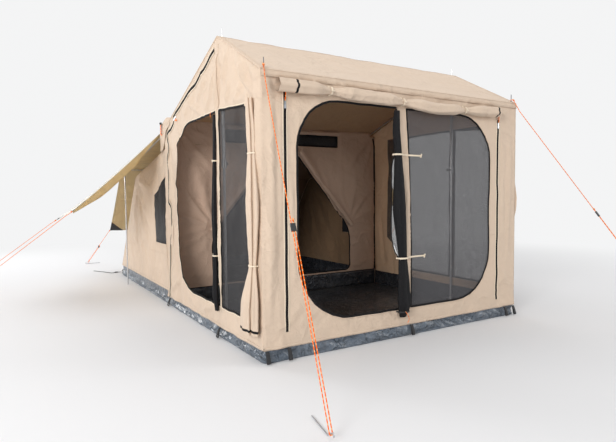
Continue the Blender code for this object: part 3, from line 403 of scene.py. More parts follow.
def makeWebbing():
    made, tree, shader, clothMap, places = blankMaterial("blackWebbing")
    weave = useEffect(tree, "weave", Vector=clothMap, Thread=0.003, Rip=0.02, Rip_Depth=0.0)[0]
    base = unevenColour(tree, places, (0.018, 0.018, 0.020), 0.03, 0.25)
    addBumps(tree, shader, [(weave, 0.0008, 0.8)])
    setInputs(tree, shader, {"Base Color": base, "Roughness": 0.7})
    return made


finish = {name: makeCloth(name) for name in clothFinishes}
finish.update(
    blackTape=makeTape(), rolledNet=makeRolledNet(), greyPvc=makePvc("greyPvc", (0.100, 0.128, 0.165)),
    # the tub's inner face and threshold: the grey PVC darkened, painted shade
    darkPvc=makePvc("darkPvc", (0.036, 0.039, 0.048)), blackPlastic=makePlastic(),
    orangeRope=makeRope(), blackWebbing=makeWebbing(),
    doorNet=makeNet("doorNet", (0.080, 0.079, 0.085), 0.30, 0.80, 0.26),
    sideNet=makeNet("sideNet", (0.026, 0.025, 0.027), 0.30, 0.86, 0.34),
    windowNet=makeNet("windowNet", (0.020, 0.019, 0.020), 0.20, 0.98, 0.80),
    poleMetal=makeMetal("poleMetal", (0.66, 0.66, 0.67), 0.34, 1.0),
    pegSteel=makeMetal("pegSteel", (0.50, 0.50, 0.52), 0.32, 1.0),
    zipMetal=makeMetal("zipMetal", (0.46, 0.48, 0.52), 0.30, 1.0),
    darkMetal=makeMetal("darkMetal", (0.14, 0.14, 0.15), 0.45, 1.0),
)
print("finishes ready:", len(finish))


# Mesh tools. A part is its points, faces and the cloth map of every face corner, in metres.

def unit(vectors):
    return vectors / np.linalg.norm(vectors, axis=-1, keepdims=True)


def distances(points):
    # how far along a line of points each of them lies
    return np.concatenate([[0], np.cumsum(np.linalg.norm(np.diff(points, axis=0), axis=1))])


def sweep(path, normals, profile, closed=False):
    path = np.asarray(path, float)
    count = len(path)
    normals = np.broadcast_to(np.asarray(normals, float), path.shape)
    ahead = unit(np.roll(path, -1, 0) - np.roll(path, 1, 0) if closed else np.gradient(path, axis=0))
    across = unit(np.cross(ahead, normals))
    out = np.cross(across, ahead)
    profile = np.asarray(profile, float)
    sides = profile.shape[-2]
    profile = np.broadcast_to(profile, (count, sides, 2))
    points = path[:, None] + across[:, None] * profile[:, :, :1] + out[:, None] * profile[:, :, 1:]
    along = distances(np.append(path, path[:1], 0))
    around = distances(np.append(profile[0], profile[0][:1], 0))
    rows = np.arange(count if closed else count - 1)
    i, j = (a.ravel() for a in np.meshgrid(rows, np.arange(sides), indexing="ij"))
    nextI, nextJ = (i + 1) % count, (j + 1) % sides
    faces = np.stack([i * sides + j, nextI * sides + j, nextI * sides + nextJ, i * sides + nextJ], 1)
    corners = np.stack([np.stack([along[i], around[j]], 1), np.stack([along[i + 1], around[j]], 1),
                        np.stack([along[i + 1], around[j + 1]], 1), np.stack([along[i], around[j + 1]], 1)], 1)
    faces, corners = faces.tolist(), corners.reshape(-1, 2)
    if not closed:
        start, end = list(range(sides))[::-1], list(range((count - 1) * sides, count * sides))
        faces += [start, end]
        cap = profile[0]
        corners = np.concatenate([corners, cap[::-1], cap])
    return {"points": points.reshape(-1, 3), "faces": faces, "corners": corners}


def loft(points, u, v):
    # an open sheet from a grid of points, rows by columns, and the cloth map of rows and columns
    rows, columns = points.shape[:2]
    i, j = (a.ravel() for a in np.meshgrid(np.arange(rows - 1), np.arange(columns - 1), indexing="ij"))
    faces = np.stack([i * columns + j, (i + 1) * columns + j, (i + 1) * columns + j + 1, i * columns + j + 1], 1)
    u = np.broadcast_to(u, (rows, columns))
    v = np.broadcast_to(v, (rows, columns))
    cloth = np.stack([u, v], -1).reshape(-1, 2)
    return {"points": points.reshape(-1, 3), "faces": faces.tolist(), "corners": cloth[faces].reshape(-1, 2)}


def insideOf(points, outline):
    x, y = points[:, 0, None], points[:, 1, None]
    a, b = outline, np.roll(outline, -1, 0)
    crossing = (a[:, 1] > y) != (b[:, 1] > y)
    rise = np.where(b[:, 1] == a[:, 1], 1e-9, b[:, 1] - a[:, 1])
    return (crossing & (x < a[:, 0] + (b[:, 0] - a[:, 0]) * (y - a[:, 1]) / rise)).sum(1) % 2 == 1


def distanceTo(points, outline):
    a, b = outline, np.roll(outline, -1, 0)
    run = b - a
    best = np.full(len(points), np.inf)
    for start, step in zip(a, run):
        share = np.clip((points - start) @ step / max(step @ step, 1e-12), 0, 1)
        best = np.minimum(best, np.linalg.norm(points - start - share[:, None] * step, axis=1))
    return best


def evenly(points, spacing, closed=True):
    # the same outline with a point at least every spacing metres
    points = [np.asarray(p, float) for p in points]
    made = []
    ends = points[1:] + points[:1] if closed else points[1:]
    for a, b in zip(points, ends):
        count = max(1, ceil(np.linalg.norm(b - a) / spacing))
        made += [a + (b - a) * i / count for i in range(count)]
    if not closed:
        made.append(points[-1])
    return np.array(made)


def rounded(corners, steps=8):
    # an outline from (u, v, radius) corners, with an arc where there is a radius
    made = []
    for i, (u, v, radius) in enumerate(corners):
        corner = Vector((u, v))
        if radius == 0:
            made.append((u, v))
            continue
        before = (Vector(corners[i - 1][:2]) - corner).normalized()
        after = (Vector(corners[(i + 1) % len(corners)][:2]) - corner).normalized()
        half = before.angle(after) / 2
        reach = radius * cos(half) / sin(half)
        centre = corner + (before + after).normalized() * radius / sin(half)
        start, end = corner + before * reach - centre, corner + after * reach - centre
        turn = start.angle_signed(end)
        for step in range(steps + 1):
            a = -turn * step / steps
            made.append((centre.x + start.x * cos(a) - start.y * sin(a),
                         centre.y + start.x * sin(a) + start.y * cos(a)))
    return made


def wavy(outline, depth, seed):
    # the same opening with its edge drawn in and out a little, as loose cloth is
    outline = evenly(outline, 0.025)
    ahead = unit(np.roll(outline, -1, 0) - np.roll(outline, 1, 0))
    run = distances(outline)
    sway = depth * softNoise(run, 0.0, 0.085, seed) * nearEdge(np.minimum(run, run[-1] - run), 0.08)
    return outline + np.stack([ahead[:, 1], -ahead[:, 0]], 1) * sway[:, None]


def panel(outline, holes, spacing, surface):
    # a cloth panel cut to the outline, with holes, laid on a surface that turns (u, v) into places
    outline = evenly(outline, spacing)
    holes = [evenly(hole, spacing) for hole in holes]
    low, high = outline.min(0), outline.max(0)
    rise = spacing * sqrt(3) / 2
    rows = np.arange(low[1] + rise / 2, high[1], rise)
    columns = [np.arange(low[0] + spacing * (0.25 + 0.5 * (k % 2)), high[0], spacing) for k in range(len(rows))]
    grid = np.concatenate([np.stack([u, np.full(len(u), v)], 1) for u, v in zip(columns, rows)])
    grid = grid[insideOf(grid, outline)]
    for hole in holes:
        grid = grid[~insideOf(grid, hole)]
    rims = [outline] + holes
    for rim in rims:
        grid = grid[distanceTo(grid, rim) > spacing * 0.45]
    points, edges, first = [], [], 0
    for rim in rims:
        points += [Vector(p) for p in rim.tolist()]
        edges += [(first + k, first + (k + 1) % len(rim)) for k in range(len(rim))]
        first += len(rim)
    points += [Vector(p) for p in grid.tolist()]
    flat, _, faces, *_ = delaunay_2d_cdt(points, edges, [], 0, 1e-6)
    flat = np.array([tuple(p) for p in flat])
    faces = np.array(faces)
    centres = flat[faces].mean(1)
    keep = insideOf(centres, outline)
    for hole in holes:
        keep &= ~insideOf(centres, hole)
    faces = faces[keep]
    placed, raised = surface(flat[:, 0], flat[:, 1], 0.0), surface(flat[:, 0], flat[:, 1], 0.01)
    a, b, c = (placed[faces[:, k]] for k in range(3))
    if (np.cross(b - a, c - a) * (raised - placed)[faces[:, 0]]).sum() < 0:
        faces = faces[:, ::-1]
    return {"points": placed, "faces": faces.tolist(), "corners": flat[faces].reshape(-1, 2)}


def joined(parts):
    first = np.cumsum([0] + [len(part["points"]) for part in parts])
    return {"points": np.concatenate([part["points"] for part in parts]),
            "faces": [[start + i for i in face] for start, part in zip(first, parts) for face in part["faces"]],
            "corners": np.concatenate([part["corners"] for part in parts])}


weldReach = 1e-5


def weld(part):
    # points in one place become one point, and faces that close up are dropped
    keys = np.round(part["points"] / weldReach).astype(np.int64)
    _, first, same = np.unique(keys, axis=0, return_index=True, return_inverse=True)
    same = same.ravel()
    faces, corners, place = [], [], 0
    for face in part["faces"]:
        marked = [same[i] for i in face]
        keep = [k for k in range(len(face)) if marked[k] != marked[k - 1]]
        if len(keep) > 2:
            faces.append([int(marked[k]) for k in keep])
            corners.append(part["corners"][[place + k for k in keep]])
        place += len(face)
    return {"points": part["points"][first], "faces": faces, "corners": np.concatenate(corners)}


def meshObject(name, parts, material, thickness=0.0, inside=None):
    # inside is the finish of a thick cloth's inner face
    whole = joined(parts)
    mesh = bpy.data.meshes.new(name)
    mesh.from_pydata(whole["points"].tolist(), [], whole["faces"])
    mesh.uv_layers.new(name="cloth").data.foreach_set("uv", whole["corners"].ravel())
    mesh.materials.append(finish[material])
    mesh.shade_smooth()
    made = bpy.data.objects.new(name, mesh)
    bpy.context.scene.collection.objects.link(made)
    if thickness:
        solid = made.modifiers.new("cloth", "SOLIDIFY")
        solid.thickness = thickness
        solid.offset = 0
        if inside:
            mesh.materials.append(finish[inside])
            solid.material_offset = 1
    return made


def newPiece(name, parts, material, *replaced, thickness=0.0, inside=None, body="root"):
    made = meshObject(name, parts, material, thickness, inside)
    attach(made, body)
    if replaced:
        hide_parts(*replaced)
    return made


def ovalProfile(width, height, count=8, lift=0.0):
    angle = 2 * pi * (np.arange(count) + 0.5) / count
    return np.stack([np.cos(angle) * width / 2, np.sin(angle) * height / 2 + lift], 1)


def bandProfile(width, height):
    # a flat tape with eased edges
    w, h, e = width / 2, height / 2, min(width, height) / 4
    rim = [(w, -h + e), (w, h - e), (w - e, h), (-w + e, h), (-w, h - e), (-w, -h + e), (-w + e, -h), (w - e, -h)]
    return np.array(rim)


def turnedNormals(path):
    # normals that don't twist along a cord's path
    path = np.asarray(path, float)
    ahead = unit(np.gradient(path, axis=0))
    first = np.cross(ahead[0], (0.3, 0.2, 1.0))
    made = [first / np.linalg.norm(first)]
    for step in ahead[1:]:
        carried = made[-1] - step * (made[-1] @ step)
        made.append(carried / np.linalg.norm(carried))
    return np.array(made)


def cordPart(path, radius, sides=8):
    return sweep(path, turnedNormals(path), ovalProfile(2 * radius, 2 * radius, sides))


# Soft shapes: seeded value noise, single folds and rows of pleats

def smoothStep(share):
    return share * share * (3 - 2 * share)


def softNoise(u, v, size, seed):
    table = np.random.default_rng(seed).random((64, 64)) * 2 - 1
    x, y = np.asarray(u) / size + 640.0, np.asarray(v) / size + 640.0
    i, j = np.floor(x).astype(int), np.floor(y).astype(int)
    fx, fy = x - i, y - j
    fx, fy = smoothStep(fx), smoothStep(fy)
    value = lambda a, b: table[(i + a) % 64, (j + b) % 64]
    return ((value(0, 0) * (1 - fx) + value(1, 0) * fx) * (1 - fy)
            + (value(0, 1) * (1 - fx) + value(1, 1) * fx) * fy)


def wrinkles(u, v, size, seed):
    # narrow ridges that wander over the cloth, from 0 to 1
    return (1 - np.abs(softNoise(u, v, size, seed))) ** 4


def foldRows(u, v, rows):
    # rows are (u0, v0, u1, v1, half width, height): ridges, or valleys where the height is negative
    total = np.zeros(np.broadcast(u, v).shape)
    for u0, v0, u1, v1, width, height in rows:
        du, dv = u1 - u0, v1 - v0
        share = np.clip(((u - u0) * du + (v - v0) * dv) / (du * du + dv * dv), 0, 1)
        away = np.hypot(u - u0 - share * du, v - v0 - share * dv) / width
        total += height * np.exp(-away * away) * np.minimum(1, 5 * share * (1 - share) + 0.12)
    return total


def pulledFrom(u, v, centre, aim, opening, count, reach, height, seed):
    # folds that run out from a point, such as a tie or a corner held tight
    du, dv = u - centre[0], v - centre[1]
    far = np.hypot(du, dv)
    angle = np.arctan2(dv, du) - radians(aim)
    angle = (angle + pi) % (2 * pi) - pi
    window = np.clip(1 - np.abs(angle) / radians(opening), 0, 1) ** 0.7
    fade = np.clip(far / (0.25 * reach), 0, 1) * np.clip(1 - far / reach, 0, 1)
    ridge = 0.5 + 0.5 * np.cos(count * angle + 2.0 * softNoise(far, angle, 0.3, seed))
    return height * (2.2 * ridge ** 2.5 - 0.5) * window * fade


def ripples(u, v, seed, broad, squash, size, small, smallSize):
    return broad * softNoise(u, v * squash, size, seed) + small * softNoise(u, v, smallSize, seed + 1)


def allPulls(u, v, rows):
    # rows are (place, aim, opening, count, reach, height, seed) of folds that run out from a point
    return sum(pulledFrom(u, v, *row) for row in rows)


def nearEdge(distance, width):
    return smoothStep(np.clip(np.asarray(distance) / width, 0, 1))


# Surfaces of the tent. Each turns places on the flat cloth into places in the tent, with the cloth's
# own folds, so that seams, zips and nets can follow it. lift is a distance outwards from the cloth.

lap = tentShape["lap"]
roofLine = [(-lap, tentShape["eave"] - tentShape["lip"]), (-lap, tentShape["eave"]),
            (ridgeBack, ridgeZ), (livingRear, tentShape["hub"])]
bedLine = [(bedFront, tentShape["bedTop"]), (tentShape["kneeBack"], tentShape["knee"]),
           (bedRear, tentShape["bedHem"])]
doorway = {"left": -0.94, "postLeft": -0.06, "postRight": 0.02, "right": 0.90, "sill": 0.215, "head": 1.645,
           "corner": 0.30, "sillCorner": 0.42, "bend": 0.65, "leftFoot": -0.030, "leftHead": -0.140,
           "rightHead": -0.026, "rightEdge": 0.862, "rightSillCorner": 0.36, "rightHeadCorner": 0.34,
           "netHead": -0.042}
sideDoor = {"front": 0.17, "postFront": 0.665, "postRear": 0.735, "rear": 1.69, "sill": 0.24, "head": 1.64,
            "frontCorner": 0.08, "rearCorner": 0.36, "rightRear": 1.58, "netBeyond": 0.075, "looseFoot": 1.40,
            "looseTop": 0.56}
innerDoor = {"half": 0.81, "sill": 0.20, "shoulder": 0.66, "headHalf": 0.10, "head": 1.50, "ventHalf": 0.65,
             "ventLow": 1.575, "ventHigh": 1.675, "top": 1.753}
window = {"front": 2.10, "rear": 2.52, "low": 0.575, "frontHigh": 1.235, "rearHigh": 1.055}
netLap = 0.016

zipX = {"left": -1.034, "right": 0.970}  # the zips of the front wall, where it lies flat for the sliders

frontFolds = [  # x, z to x, z, half width, height of each fold in the front wall
    (-1.135, 1.72, -1.125, 0.40, 0.026, 0.014), (-1.055, 1.70, -1.070, 0.75, 0.021, 0.009),
    (-1.165, 1.10, -1.150, 0.15, 0.021, 0.011), (-1.000, 1.20, -0.975, 0.45, 0.019, 0.008),
    (-1.175, 0.12, -0.930, 0.33, 0.023, 0.016), (-1.010, 0.10, -0.880, 0.24, 0.019, 0.009),
    (-0.780, 0.10, -0.560, 0.19, 0.019, 0.008), (-0.420, 0.18, -0.120, 0.11, 0.019, 0.008),
    (-0.066, 0.12, -0.020, 0.60, 0.021, 0.009), (-0.020, 0.55, -0.028, 1.55, 0.019, 0.008),
    (0.120, 0.11, 0.330, 0.19, 0.019, 0.009), (0.400, 0.19, 0.580, 0.10, 0.019, 0.008),
    (0.690, 0.10, 0.880, 0.23, 0.019, 0.012), (0.820, 0.11, 1.080, 0.36, 0.022, 0.014),
    (1.180, 0.12, 1.010, 0.42, 0.021, 0.012), (1.100, 0.45, 1.120, 1.55, 0.023, 0.011),
    (1.040, 0.70, 1.030, 1.50, 0.019, 0.007),
]
sideFolds = [  # s, z to s, z, half width, height of each fold in a side wall
    (0.649, 1.970, 0.690, 1.646, 0.020, -0.012), (0.690, 2.060, 0.735, 1.660, 0.024, 0.011),
    (0.757, 1.960, 0.865, 1.760, 0.022, 0.012), (0.845, 1.780, 0.956, 1.680, 0.020, 0.010),
    (0.355, 1.960, 0.103, 1.663, 0.024, 0.014), (0.420, 1.940, 0.220, 1.700, 0.018, -0.008),
    (0.509, 2.030, 0.585, 1.820, 0.022, 0.012), (0.261, 1.900, 0.170, 1.720, 0.020, 0.011),
    (0.126, 1.840, 0.020, 1.740, 0.020, 0.010), (0.433, 1.675, 0.192, 1.660, 0.018, 0.009),
    (1.335, 1.800, 1.047, 1.684, 0.024, 0.012), (0.479, 1.830, 0.538, 1.671, 0.020, 0.011),
    (0.946, 1.920, 1.158, 1.790, 0.022, 0.010), (0.314, 1.760, 0.365, 1.670, 0.018, 0.009),
    (1.230, 1.860, 1.480, 1.700, 0.022, 0.009), (1.604, 1.600, 1.700, 1.100, 0.024, 0.010),
    (1.924, 1.450, 1.825, 0.900, 0.024, 0.010), (1.784, 0.800, 1.720, 0.200, 0.024, 0.010),
    (1.900, 1.620, 1.990, 0.400, 0.022, 0.008), (2.030, 1.550, 2.060, 0.300, 0.022, 0.008),
    (0.200, 1.750, 0.150, 1.150, 0.022, 0.010), (0.060, 1.700, 0.050, 0.900, 0.020, 0.010),
    (0.250, 0.120, 0.420, 0.210, 0.020, 0.008), (0.820, 0.210, 1.100, 0.130, 0.020, 0.008),
    (1.200, 0.120, 1.480, 0.210, 0.020, 0.008), (1.640, 0.300, 1.980, 0.140, 0.022, 0.009),
    (0.705, 0.400, 0.700, 1.550, 0.016, 0.005),
]


def onLine(line, along, soft):
    # places on a bent line at distances along it, with its bends rounded over soft metres
    line = np.array(line)
    ends = distances(line)
    along = np.clip(along, 0, ends[-1])
    reach = np.minimum(np.minimum(soft, along), ends[-1] - along)
    shares = (-1.0, -0.6, -0.2, 0.2, 0.6, 1.0)
    s = sum(np.interp(along + reach * k, ends, line[:, 0]) for k in shares) / len(shares)
    z = sum(np.interp(along + reach * k, ends, line[:, 1]) for k in shares) / len(shares)
    return s, z


def lineLength(line):
    return float(np.linalg.norm(np.diff(np.array(line), axis=0), axis=1).sum())


def bentSheet(line, push, soft, depth):
    # a roof: u is x and v is the distance along the section's line
    def place(x, along, lift):
        s, z = onLine(line, along, soft)
        s1, z1 = onLine(line, np.asarray(along) + 0.004, soft)
        s0, z0 = onLine(line, np.asarray(along) - 0.004, soft)
        run, rise = s1 - s0, z1 - z0
        size = np.maximum(np.hypot(run, rise), 1e-9)
        out = lift - depth + push(x, along)
        return atAll(x, s - rise / size * out, z + run / size * out)
    return place


roofLength, bedRoofLength = lineLength(roofLine), lineLength(bedLine)
roofEave = tentShape["lip"]
roofRidge = roofEave + lineLength(roofLine[1:3])
bedKnee = lineLength(bedLine[:2])


def roofPush(x, along):
    x, along = np.broadcast_arrays(x, along)
    front = np.clip((along - roofEave) / (roofRidge - roofEave), 0, 1)
    rear = np.clip((along - roofRidge) / (roofLength - roofRidge), 0, 1)
    hollow = np.sin(pi * front) * 0.016 + np.sin(pi * rear) * 0.026
    middleShare = nearEdge(wallX - 0.06 - np.abs(x), 0.45)
    inner = nearEdge(wallX - 0.07 - np.abs(x), 0.06) * nearEdge(roofLength - along, 0.04)
    inner = inner * nearEdge(along - roofEave, 0.05)
    ripple = ripples(x, along, 11, 0.003, 0.6, 0.16, 0.0015, 0.06)
    pulls = allPulls(x, along, [((wallX, roofLength), 240, 35, 14, 0.7, 0.004, 2),
                                ((-wallX, roofLength), 300, 35, 14, 0.7, 0.004, 3)])
    lipWave = 0.004 * (softNoise(x, 0.0, 0.11, 13) - 1) * (1 - nearEdge(along, 0.045))
    return -hollow * middleShare + inner * (ripple + pulls) - lipWave * 0.6


def bedRoofPush(x, along):
    x, along = np.broadcast_arrays(x, along)
    top = np.clip(along / bedKnee, 0, 1)
    down = np.clip((along - bedKnee) / (bedRoofLength - bedKnee), 0, 1)
    edge = np.minimum.reduce([bedX - np.abs(x), bedRoofLength - along, along])
    inner = nearEdge(edge, 0.05)
    hollow = (np.sin(pi * top) * 0.030 + np.sin(pi * down) * 0.012) * nearEdge(bedX - np.abs(x), 0.5)
    ripple = ripples(x, along, 21, 0.005, 0.5, 0.15, 0.002, 0.06)
    pulls = allPulls(x, along, [((bedX, bedKnee), 215, 50, 16, 0.8, 0.006, 5),
                                ((-bedX, bedKnee), -35, 50, 16, 0.8, 0.006, 6)])
    return -hollow + inner * (ripple + pulls)


def roofHeight(s):
    line = np.array(roofLine[1:])
    return np.interp(s, line[:, 0], line[:, 1])


def bedHeight(s):
    line = np.array(bedLine)
    return np.interp(s, line[:, 0], line[:, 1])


def clearOfTub(z):
    # how far in a wall's fold may go: not through the tub's sides
    return -0.0006 - 0.05 * nearEdge(z - 0.165, 0.10)


def frontPush(x, z):
    x, z = np.broadcast_arrays(x, z)
    inner = nearEdge(np.minimum.reduce([z - tentShape["livingHem"], tentShape["eave"] - z, wallX - np.abs(x)]), 0.035)
    ripple = ripples(x, z, 31, 0.0045, 0.35, 0.10, 0.0010, 0.05)
    ripple = ripple + 0.0055 * wrinkles(x + 0.25 * z, z * 0.30, 0.16, 34) - 0.003
    hem = 0.006 * softNoise(x, 0.0, 0.10, 33) * nearEdge(wallX - np.abs(x), 0.08)
    hem = (hem + 0.005) * (1 - nearEdge(z - tentShape["livingHem"], 0.12))
    push = inner * (ripple + 1.6 * nearEdge(z - 0.15, 0.35) * foldRows(x, z, frontFolds)) + hem
    beside = np.minimum(*(nearEdge(np.abs(x - place) - 0.014, 0.030) for place in zipX.values()))
    push = push * (1 - (1 - beside) * nearEdge(z - 0.19, 0.05))
    return np.maximum(push, clearOfTub(z))


def sidePush(s, z):
    s, z = np.broadcast_arrays(s, z)
    top = roofHeight(s) - z
    inner = nearEdge(np.minimum.reduce([z - tentShape["livingHem"], top, s, livingRear - s]), 0.035)
    ripple = ripples(s, z, 41, 0.0055, 0.35, 0.11, 0.0025, 0.05)
    ripple = ripple + 0.0065 * wrinkles(s - 0.3 * z, z * 0.5, 0.17, 44) - 0.003
    hem = (0.008 * softNoise(s, 0.0, 0.12, 43) + 0.007) * (1 - nearEdge(z - tentShape["livingHem"], 0.14))
    hem = hem * nearEdge(s, 0.08)
    push = inner * (ripple + 2.0 * foldRows(s, z, sideFolds)) + hem
    return np.maximum(push, clearOfTub(z))


def dividerPush(x, z):
    x, z = np.broadcast_arrays(x, z)
    inner = nearEdge(np.minimum.reduce([wallX - 0.01 - np.abs(x), z, innerDoor["top"] - z]), 0.05)
    ripple = ripples(x, z, 51, 0.009, 0.5, 0.16, 0.004, 0.06)
    ripple = ripple + 0.008 * wrinkles(x, z, 0.20, 53)
    pulls = allPulls(x, z, [((0.80, 0.73), 75, 100, 13, 0.75, 0.016, 7),
                            ((-0.80, 0.73), 130, 110, 13, 0.80, 0.018, 8),
                            ((wallX, innerDoor["top"]), 225, 40, 16, 0.9, 0.012, 9),
                            ((-wallX, innerDoor["top"]), 315, 40, 16, 0.9, 0.012, 10)])
    return inner * (ripple + pulls)


def bedSidePush(s, z):
    s, z = np.broadcast_arrays(s, z)
    inner = nearEdge(np.minimum.reduce([z - tentShape["bedHem"], bedHeight(s) - z, s - bedFront]), 0.05)
    ripple = ripples(s, z, 61, 0.008, 0.4, 0.15, 0.004, 0.06)
    ripple = ripple + 0.008 * wrinkles(s - 0.4 * z, z * 0.5, 0.19, 63)
    pulls = allPulls(s, z, [((tentShape["kneeBack"], tentShape["knee"]), 235, 75, 17, 1.0, 0.022, 11),
                            ((bedFront, tentShape["bedTop"]), 290, 40, 12, 0.7, 0.012, 12)])
    pulls = pulls + 0.0030 * softNoise(s, z * 0.08, 0.045, 64) * (1 - nearEdge(z - 0.35, 0.4))
    hem = 0.004 * (1 - nearEdge(z - tentShape["bedHem"], 0.12)) * nearEdge(s - bedFront, 0.1)
    return inner * (ripple + pulls) + hem


roofAt = bentSheet(roofLine, roofPush, 0.012, middle)
bedRoofAt = bentSheet(bedLine, bedRoofPush, 0.05, middle)


def frontAt(x, z, lift):
    return atAll(x, middle - lift - frontPush(x, z), z)


def dividerAt(x, z, lift):
    return atAll(x, dividerBack + middle - lift - dividerPush(x, z), z)


def sideAt(side):
    return lambda s, z, lift: atAll(side * (wallX - middle + lift + sidePush(s, z)), s, z)


def bedSideAt(side):
    return lambda s, z, lift: atAll(side * (bedX - middle + lift + bedSidePush(s, z)), s, z)


def trim(surface, path, profile, lift=0.0, closed=False):
    # a tape, welt or seam that follows a path on a surface
    flat = evenly(path, 0.012, closed)
    low, high = surface(flat[:, 0], flat[:, 1], lift), surface(flat[:, 0], flat[:, 1], lift + 0.01)
    return sweep(low, (high - low) / 0.01, profile, closed)


def beside(profile, offset):
    return np.asarray(profile) + (offset, 0)


# Guy ropes: their points are those of the CAD ropes

guy = {
    "radius": 0.0025, "strandShare": 1.12, "spikeLoop": 0.0061, "loopTurn": 280, "loopSteps": 8, "bightSteps": 5,
    "spread": 0.007,
    "shares": (0.06, 0.35, 0.65, 1.0), "shortTail": 0.09, "runnerLength": 0.045, "anchorZ": 0.0275,
    "poleX": 1.165, "poleBack": 0.022, "spikeShare": 0.25, "spikeHeight": 0.060,
    "cornerClearance": 0.0009, "valanceClearance": 0.004,
    "frontPegs": {"left": (-1.384, -1.005), "right": (1.555, -1.16)}, "wingFrontPeg": (2.90, 3.80),
    "wingRearPeg": (2.92, 4.30), "rearPeg": (1.43, 5.72), "frontShare": 0.47, "rearShare": 0.52,
    "wingFrontTip": (2.00, 2.22, 0.915), "wingRearTip": (2.05, 3.25, 0.80), "rearTip": (1.30, 4.51, 0.585),
}


def guyFrame(top, anchor, sideBySide):
    down = (anchor - top).normalized()
    if sideBySide:
        return down, Vector((down.y, -down.x, 0)).normalized()
    return down, (Vector((0, 0, 1)) - down * down.z).normalized()


def guyPoints(top, anchor, tail, roundSpike):
    down, square = guyFrame(top, anchor, roundSpike)
    level = Vector((down.x, down.y, 0)).normalized()
    points = []
    if roundSpike:
        last = atan2(-level.x, level.y)
        for step in range(guy["loopSteps"]):
            angle = last - radians(guy["loopTurn"]) * (1 - step / (guy["loopSteps"] - 1))
            points.append(top + Vector((cos(angle), sin(angle), 0)) * guy["spikeLoop"])
        points.append(points[-1] + level * guy["spikeLoop"] * 3 + down * guy["spikeLoop"])
    else:
        points.append(top)
    straight = (anchor - top).length
    points += [top + square * guy["spread"] + down * straight * share for share in guy["shares"]]
    for step in range(1, guy["bightSteps"] + 1):
        angle = pi * step / (guy["bightSteps"] + 1)
        points.append(anchor + (square * cos(angle) + down * sin(angle)) * guy["spread"])
    return points + [anchor - square * guy["spread"] - down * tail * share for share in (0, 0.5, 1)]


def guyRoutes():
    routes = []
    rise = (ridgeZ - tentShape["eave"]) / (ridgeBack + lap)
    spikeTop = tentShape["eave"] + rise * (guy["poleBack"] + lap) + guy["spikeHeight"] * guy["spikeShare"]
    for side, label in bothSides:
        x, s = guy["frontPegs"][label]
        routes.append((f"front_guy_{label}", at(side * guy["poleX"], guy["poleBack"], spikeTop),
                       at(x, s, guy["anchorZ"]), guy["frontShare"], True))
        for rope, tip, peg, clearance, share in (
                ("wing_front_guy", "wingFrontTip", "wingFrontPeg", "valanceClearance", None),
                ("wing_rear_guy", "wingRearTip", "wingRearPeg", "cornerClearance", None),
                ("rear_guy", "rearTip", "rearPeg", "cornerClearance", guy["rearShare"])):
            x, s, z = guy[tip]
            corner, anchor = at(side * x, s, z), at(side * guy[peg][0], guy[peg][1], guy["anchorZ"])
            top = corner + (anchor - corner).normalized() * guy[clearance]
            routes.append((f"{rope}_{label}", top, anchor, share, False))
    return routes


def knotPart(centre, axis, size, rope, turns=2.5):
    # a stopper knot: the rope wound round its own line in a short barrel
    axis = axis.normalized()
    side = axis.orthogonal().normalized()
    other = axis.cross(side)
    steps = int(turns * 10)
    path = [centre + axis * size * (i / steps - 0.5)
            + (side * cos(2 * pi * turns * i / steps) + other * sin(2 * pi * turns * i / steps)) * rope * 1.9
            for i in range(steps + 1)]
    return cordPart(path, rope, 6)


def makeGuys():
    for name, top, anchor, share, roundSpike in guyRoutes():
        straight = (anchor - top).length
        tail = straight * share + guy["runnerLength"] if share else guy["shortTail"]
        path = guyPoints(top, anchor, tail, roundSpike)
        rope = newPiece(name.replace("guy", "rope"), [cordPart(path, guy["radius"] * guy["strandShare"])],
                        "orangeRope", name)
        down, square = guyFrame(top, anchor, roundSpike)
        knots = [knotPart(path[-1], down, 0.014, guy["radius"])]
        if roundSpike:
            knots.append(knotPart(path[8], down, 0.016, guy["radius"], 3))
        else:
            knots.append(knotPart(top + down * 0.018 + square * 0.004, down, 0.016, guy["radius"], 3))
        if not share:
            knots.append(knotPart(path[-1] + square * guy["spread"], down, 0.020, guy["radius"] * 1.2, 3))
        knot = newPiece(name.replace("guy", "knots"), knots, "orangeRope")


makeGuys()
print("guy ropes laid")


# Walls, roofs and nets


def clothPiece(name, outline, holes, spacing, surface, material, *replaced, held="stretched", inside=None,
               thickness=0.0012):
    made = newPiece(name, [panel(outline, holes, spacing, surface)], material, *replaced, thickness=thickness,
                    inside=inside)


d, sd, inn = doorway, sideDoor, innerDoor
edgeSway = {"front": 0.002, "side": 0.003}
leftDoorway = wavy(rounded([(d["left"], d["sill"], d["sillCorner"]), (d["leftFoot"], d["sill"], 0),
                            (d["postLeft"], d["bend"], 0), (d["leftHead"], d["head"], 0),
                            (d["left"], d["head"], d["corner"])]), edgeSway["front"], 161)
rightDoorway = wavy(rounded([(d["postRight"], d["sill"], 0), (d["rightEdge"], d["sill"], d["rightSillCorner"]),
                             (d["rightEdge"], d["head"], d["rightHeadCorner"]), (d["rightHead"], d["head"], 0),
                             (d["postRight"], d["bend"], 0)]), edgeSway["front"], 162)
sideFrontDoorway = wavy(rounded([(sd["front"], sd["sill"], sd["frontCorner"]), (sd["postFront"], sd["sill"], 0),
                                 (sd["postFront"], sd["head"], 0),
                                 (sd["front"], sd["head"] - 0.036, sd["frontCorner"])]),
                        edgeSway["side"], 163)
sideRearDoorways = {side: wavy(rounded([(sd["postRear"], sd["sill"], 0), (rear, sd["sill"], sd["rearCorner"]),
                                        (rear, sd["head"], sd["rearCorner"]), (sd["postRear"], sd["head"], 0)]),
                               edgeSway["side"], 164)
                    for side, rear in ((-1, sd["rear"]), (1, sd["rightRear"]))}
